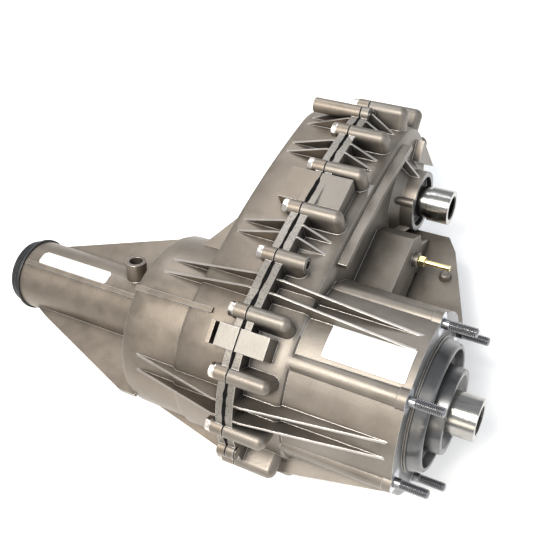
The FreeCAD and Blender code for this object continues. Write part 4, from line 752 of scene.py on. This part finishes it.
TAIL_BOOT = (
    (-519, 26), (-519, 36), (-531, 36), (-531, 46.2), (-531.5, 46.5), (-534, 46.5),
    (-534.8, 45.6), (-535.2, 42.6), (-538, 42.3), (-538.9, 40.6), (-540.2, 42.0), (-543, 41.7),
    (-544, 40.0), (-545.4, 41.4), (-548, 40.6), (-549, 39.4), (-549, 31), (-546, 27.6),
    (-540, 26.8), (-531, 26))
tail = Shape()
tail.lathe(in_mm(TAIL_BOOT), BOOT_SIDES, 0.0, 0.0, closed=True)
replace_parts(solid("tail_seal_boot", tail, SEAL, "case"), "tail_seal")
seal_face("input_seal")
seal_face("output_seal")


# Small cast details: a domed boss and a tapered gusset on the web, and in one bolt boss a rim round
# a near-black disc, the disc a painted shadow where a bore would be

WEB = -37.0                                 # height of the web, in millimetres
DOME_X, DOME_Y, DOME_SIDES = -42.5 * MM, 173.5 * MM, 40
DOME = ((-1.0, 8.2), (0.0, 7.6), (1.2, 6.9), (5.0, 6.5), (7.0, 5.9), (8.0, 4.8),
        (8.3, 3.4), (8.0, 2.6), (7.0, 2.2))
dome = Shape()
dome.lathe(in_mm(DOME), DOME_SIDES, 0.0, 0.0)
dome.verts = [(DOME_X + y, DOME_Y + z, WEB * MM + x) for x, y, z in dome.verts]     # stood up
solid("web_boss", dome, CAST, "case")

GUSSET_Y, GUSSET_X, GUSSET_DRIFT = (168.0, 218.0), -84.5, 4.0
GUSSET_ROWS = (     # share of its length, half thickness and height of the top, in millimetres
    (0.0, 8.0, 11.0), (0.25, 6.2, 2.0), (0.5, 4.6, -9.5), (0.75, 3.4, -22.0), (1.0, 2.4, -36.0))
SIDE = 4                                    # corners on one side of a row
gusset = Shape()
for share, half, top in GUSSET_ROWS:
    y = GUSSET_Y[0] + (GUSSET_Y[1] - GUSSET_Y[0]) * share
    outline = ((half + 0.9, WEB - 1.0), (half + 0.2, WEB + 0.6), (half, top - 1.2),
               (half - 1.0, top))
    for side in (-1, 1):
        for x, z in outline:
            x = GUSSET_X + GUSSET_DRIFT * share + side * x
            gusset.verts.append((x * MM, y * MM, z * MM))
ends = (0, 2 * SIDE * (len(GUSSET_ROWS) - 1))
for a in range(ends[0], ends[1], 2 * SIDE):
    b = a + 2 * SIDE
    for k in (0, 1, 2, SIDE, SIDE + 1, SIDE + 2):
        gusset.faces.append((a + k, a + k + 1, b + k + 1, b + k))
    for k in (0, SIDE - 1):
        gusset.faces.append((a + k, a + k + SIDE, b + k + SIDE, b + k))
for a in ends:
    gusset.faces.append(tuple(a + k for k in (0, 1, 2, 3, 7, 6, 5, 4)))
solid("web_gusset", gusset, CAST, "case")

BORE_X, BORE_Y, BORE_Z = -141.0 * MM, 55.0 * MM, 128.4 * MM
BORE_SIDES = 36
BORE_RIM = ((-0.4, 6.6), (0.3, 6.2), (0.7, 5.6), (0.7, 5.0), (0.1, 4.4), (-0.4, 4.4))
BORE_SHADOW_DISC = ((-0.4, 4.6), (0.25, 4.5), (0.12, 3.6), (0.05, 2.0))
bore_rim = Shape()
bore_rim.lathe(in_mm(BORE_RIM, BORE_X), BORE_SIDES, BORE_Y, BORE_Z, closed=True)
solid("boss_bore_rim", bore_rim, RIM, "case")
# a near-black disc inside the rim: painted shadow in place of a bore
bore_shadow_disc = Shape()
bore_shadow_disc.lathe(in_mm(BORE_SHADOW_DISC, BORE_X), BORE_SIDES, BORE_Y, BORE_Z)
solid("boss_bore_shadow", bore_shadow_disc, SEALANT_AND_SHADOW_BLACK, "case")


# Plain stickers, curved to the castings

STICKER_THICKNESS = 0.22 * MM
STICKER_LIFT, STICKER_WAVE = 0.12 * MM, 0.10 * MM       # off the casting, and how much it waves
STICKER_COLUMNS, STICKER_ROWS = 28, 14


def sticker(name, start, end, low, high, radius_at, corner):
    """A thin sheet between two stations and two angles in degrees, with rounded corners."""
    columns, rows = STICKER_COLUMNS, STICKER_ROWS
    width = abs(end - start)
    height = math.radians(high - low) * radius_at(start)
    sheet = Shape()
    for layer in (0.0, STICKER_THICKNESS):
        for i in range(columns + 1):
            u = i / columns
            x = start + (end - start) * u
            from_end = min(u, 1 - u) * width
            trim = 0.0
            if from_end < corner:
                inside = corner - from_end
                trim = corner - math.sqrt(max(0.0, corner ** 2 - inside ** 2))
            for j in range(rows + 1):
                s = trim + (height - 2 * trim) * (j / rows)
                a = math.radians(low) + s / radius_at(start)
                wave = STICKER_WAVE * noise.noise(Vector((x * 60, s * 60, 3.1)))
                r = radius_at(x) + STICKER_LIFT + layer + max(0.0, wave)
                sheet.verts.append((x, r * math.cos(a), r * math.sin(a)))
    stride = rows + 1
    upper = (columns + 1) * stride
    for i in range(columns):
        for j in range(rows):
            a = i * stride + j
            b = a + stride
            sheet.faces.append((a, a + 1, b + 1, b))
            sheet.faces.append((upper + a, upper + a + 1, upper + b + 1, upper + b))
    for j in range(rows):
        for a in (j, columns * stride + j):
            sheet.faces.append((a, a + 1, upper + a + 1, upper + a))
    for i in range(columns):
        for a in (i * stride, i * stride + rows):
            b = a + stride
            sheet.faces.append((a, b, upper + b, upper + a))
    solid(name, sheet, LABEL, "case")


TOWER_FRONT, TOWER_BACK, TOWER_LENGTH = 102.3, 104.3, 0.129
TAIL_RADIUS = 44.0 * MM


def tower_radius(x):
    """The tower's radius at a station: it widens towards the joint."""
    return (TOWER_FRONT + (TOWER_BACK - TOWER_FRONT) * min(1.0, -x / TOWER_LENGTH)) * MM


def tail_radius(x):
    return TAIL_RADIUS


sticker("front_sticker", start=-0.0965, end=-0.0075, low=83.6, high=104.2,
        radius_at=tower_radius, corner=0.8 * MM)
sticker("tail_sticker", start=-0.512, end=-0.407, low=69.8, high=96.0,
        radius_at=tail_radius, corner=4.0 * MM)


# Floor, lights and camera

FLOOR_HALF, FLOOR_GAP = 6.0, 0.5 * MM


def floor():
    """A pale sheet just under the part, which glows a little so that it shows as white."""
    half, level = FLOOR_HALF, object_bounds()[0].z - FLOOR_GAP
    mesh = bpy.data.meshes.new("floor")
    corners = [(-half, -half, level), (half, -half, level), (half, half, level),
               (-half, half, level)]
    mesh.from_pydata(corners, [], [(0, 1, 2, 3)])
    g = Graph("floor_paper")
    shade = g.mix(g.spread(g.noise(1.2, 2.0), 0.3, 0.7), (0.76, 0.76, 0.76), (0.80, 0.80, 0.80))
    mesh.materials.append(g.finish(Base_Color=shade, Roughness=0.85,
                                   Emission_Color=(1.0, 1.0, 1.0), Emission_Strength=0.30))
    obj = bpy.data.objects.new("floor", mesh)
    bpy.context.scene.collection.objects.link(obj)
    obj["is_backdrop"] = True


AIM = (-0.22, 0.08, 0.0)
LIGHTS = (      # name, place, target, both sides, power in watts, colour
    ("key", (-0.35, -0.65, 2.0), AIM, (0.8, 0.8), 66.0, (1.0, 0.96, 0.90)),
    ("far_side", (-1.0, 1.3, 1.4), AIM, (0.9, 0.9), 15.0, (0.95, 0.97, 1.0)),
    ("warm_side", (0.05, -1.5, 0.75), (-0.1, 0.0, 0.0), (1.4, 0.5), 8.0, (1.0, 0.90, 0.76)),
    ("front", (1.5, 0.1, 1.0), AIM, (0.9, 0.9), 6.0, (0.86, 0.93, 1.0)),
)
SKY, SKY_STRENGTH = (0.90, 0.95, 1.0, 1.0), 0.62


def area_light(name, place, target, sides, power, color):
    data = bpy.data.lights.new(name, "AREA")
    data.shape = "RECTANGLE"
    data.size, data.size_y = sides
    data.energy = power
    data.color = color
    obj = bpy.data.objects.new(name, data)
    bpy.context.scene.collection.objects.link(obj)
    obj.location = place
    obj.rotation_mode = "QUATERNION"
    obj.rotation_quaternion = (Vector(target) - Vector(place)).to_track_quat("-Z", "Y")


floor()
world = bpy.data.worlds.new("studio")
world.use_nodes = True
sky = world.node_tree.nodes["Background"]
sky.inputs[0].default_value = SKY
sky.inputs[1].default_value = SKY_STRENGTH
bpy.context.scene.world = world
bpy.context.scene.view_settings.view_transform = "Standard"
for light in LIGHTS:
    area_light(*light)

AZIMUTH, ELEVATION, ROLL = 44.6, 56.8, -23.0
CAMERA_PLACE = (0.160, -0.296, 0.828)
SENSOR, FOCAL_PIXELS, PICTURE_PIXELS = 36.0, 813.0, 560.0
az, el, roll = (math.radians(v) for v in (AZIMUTH, ELEVATION, ROLL))
back = Vector((math.sin(az) * math.cos(el), -math.cos(az) * math.cos(el), math.sin(el)))
level_right = Vector((math.cos(az), math.sin(az), 0))
level_up = back.cross(level_right)
right = math.cos(roll) * level_right + math.sin(roll) * level_up
up = -math.sin(roll) * level_right + math.cos(roll) * level_up
camera_data = bpy.data.cameras.new("camera")
camera_data.sensor_width = SENSOR
camera_data.lens = SENSOR * FOCAL_PIXELS / PICTURE_PIXELS
camera_data.clip_start = 0.01
camera = bpy.data.objects.new("camera", camera_data)
bpy.context.scene.collection.objects.link(camera)
facing = Matrix((right, up, back)).transposed().to_4x4()
camera.matrix_world = Matrix.Translation(CAMERA_PLACE) @ facing
bpy.context.scene.camera = camera

bpy.context.view_layer.update()
low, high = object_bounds()
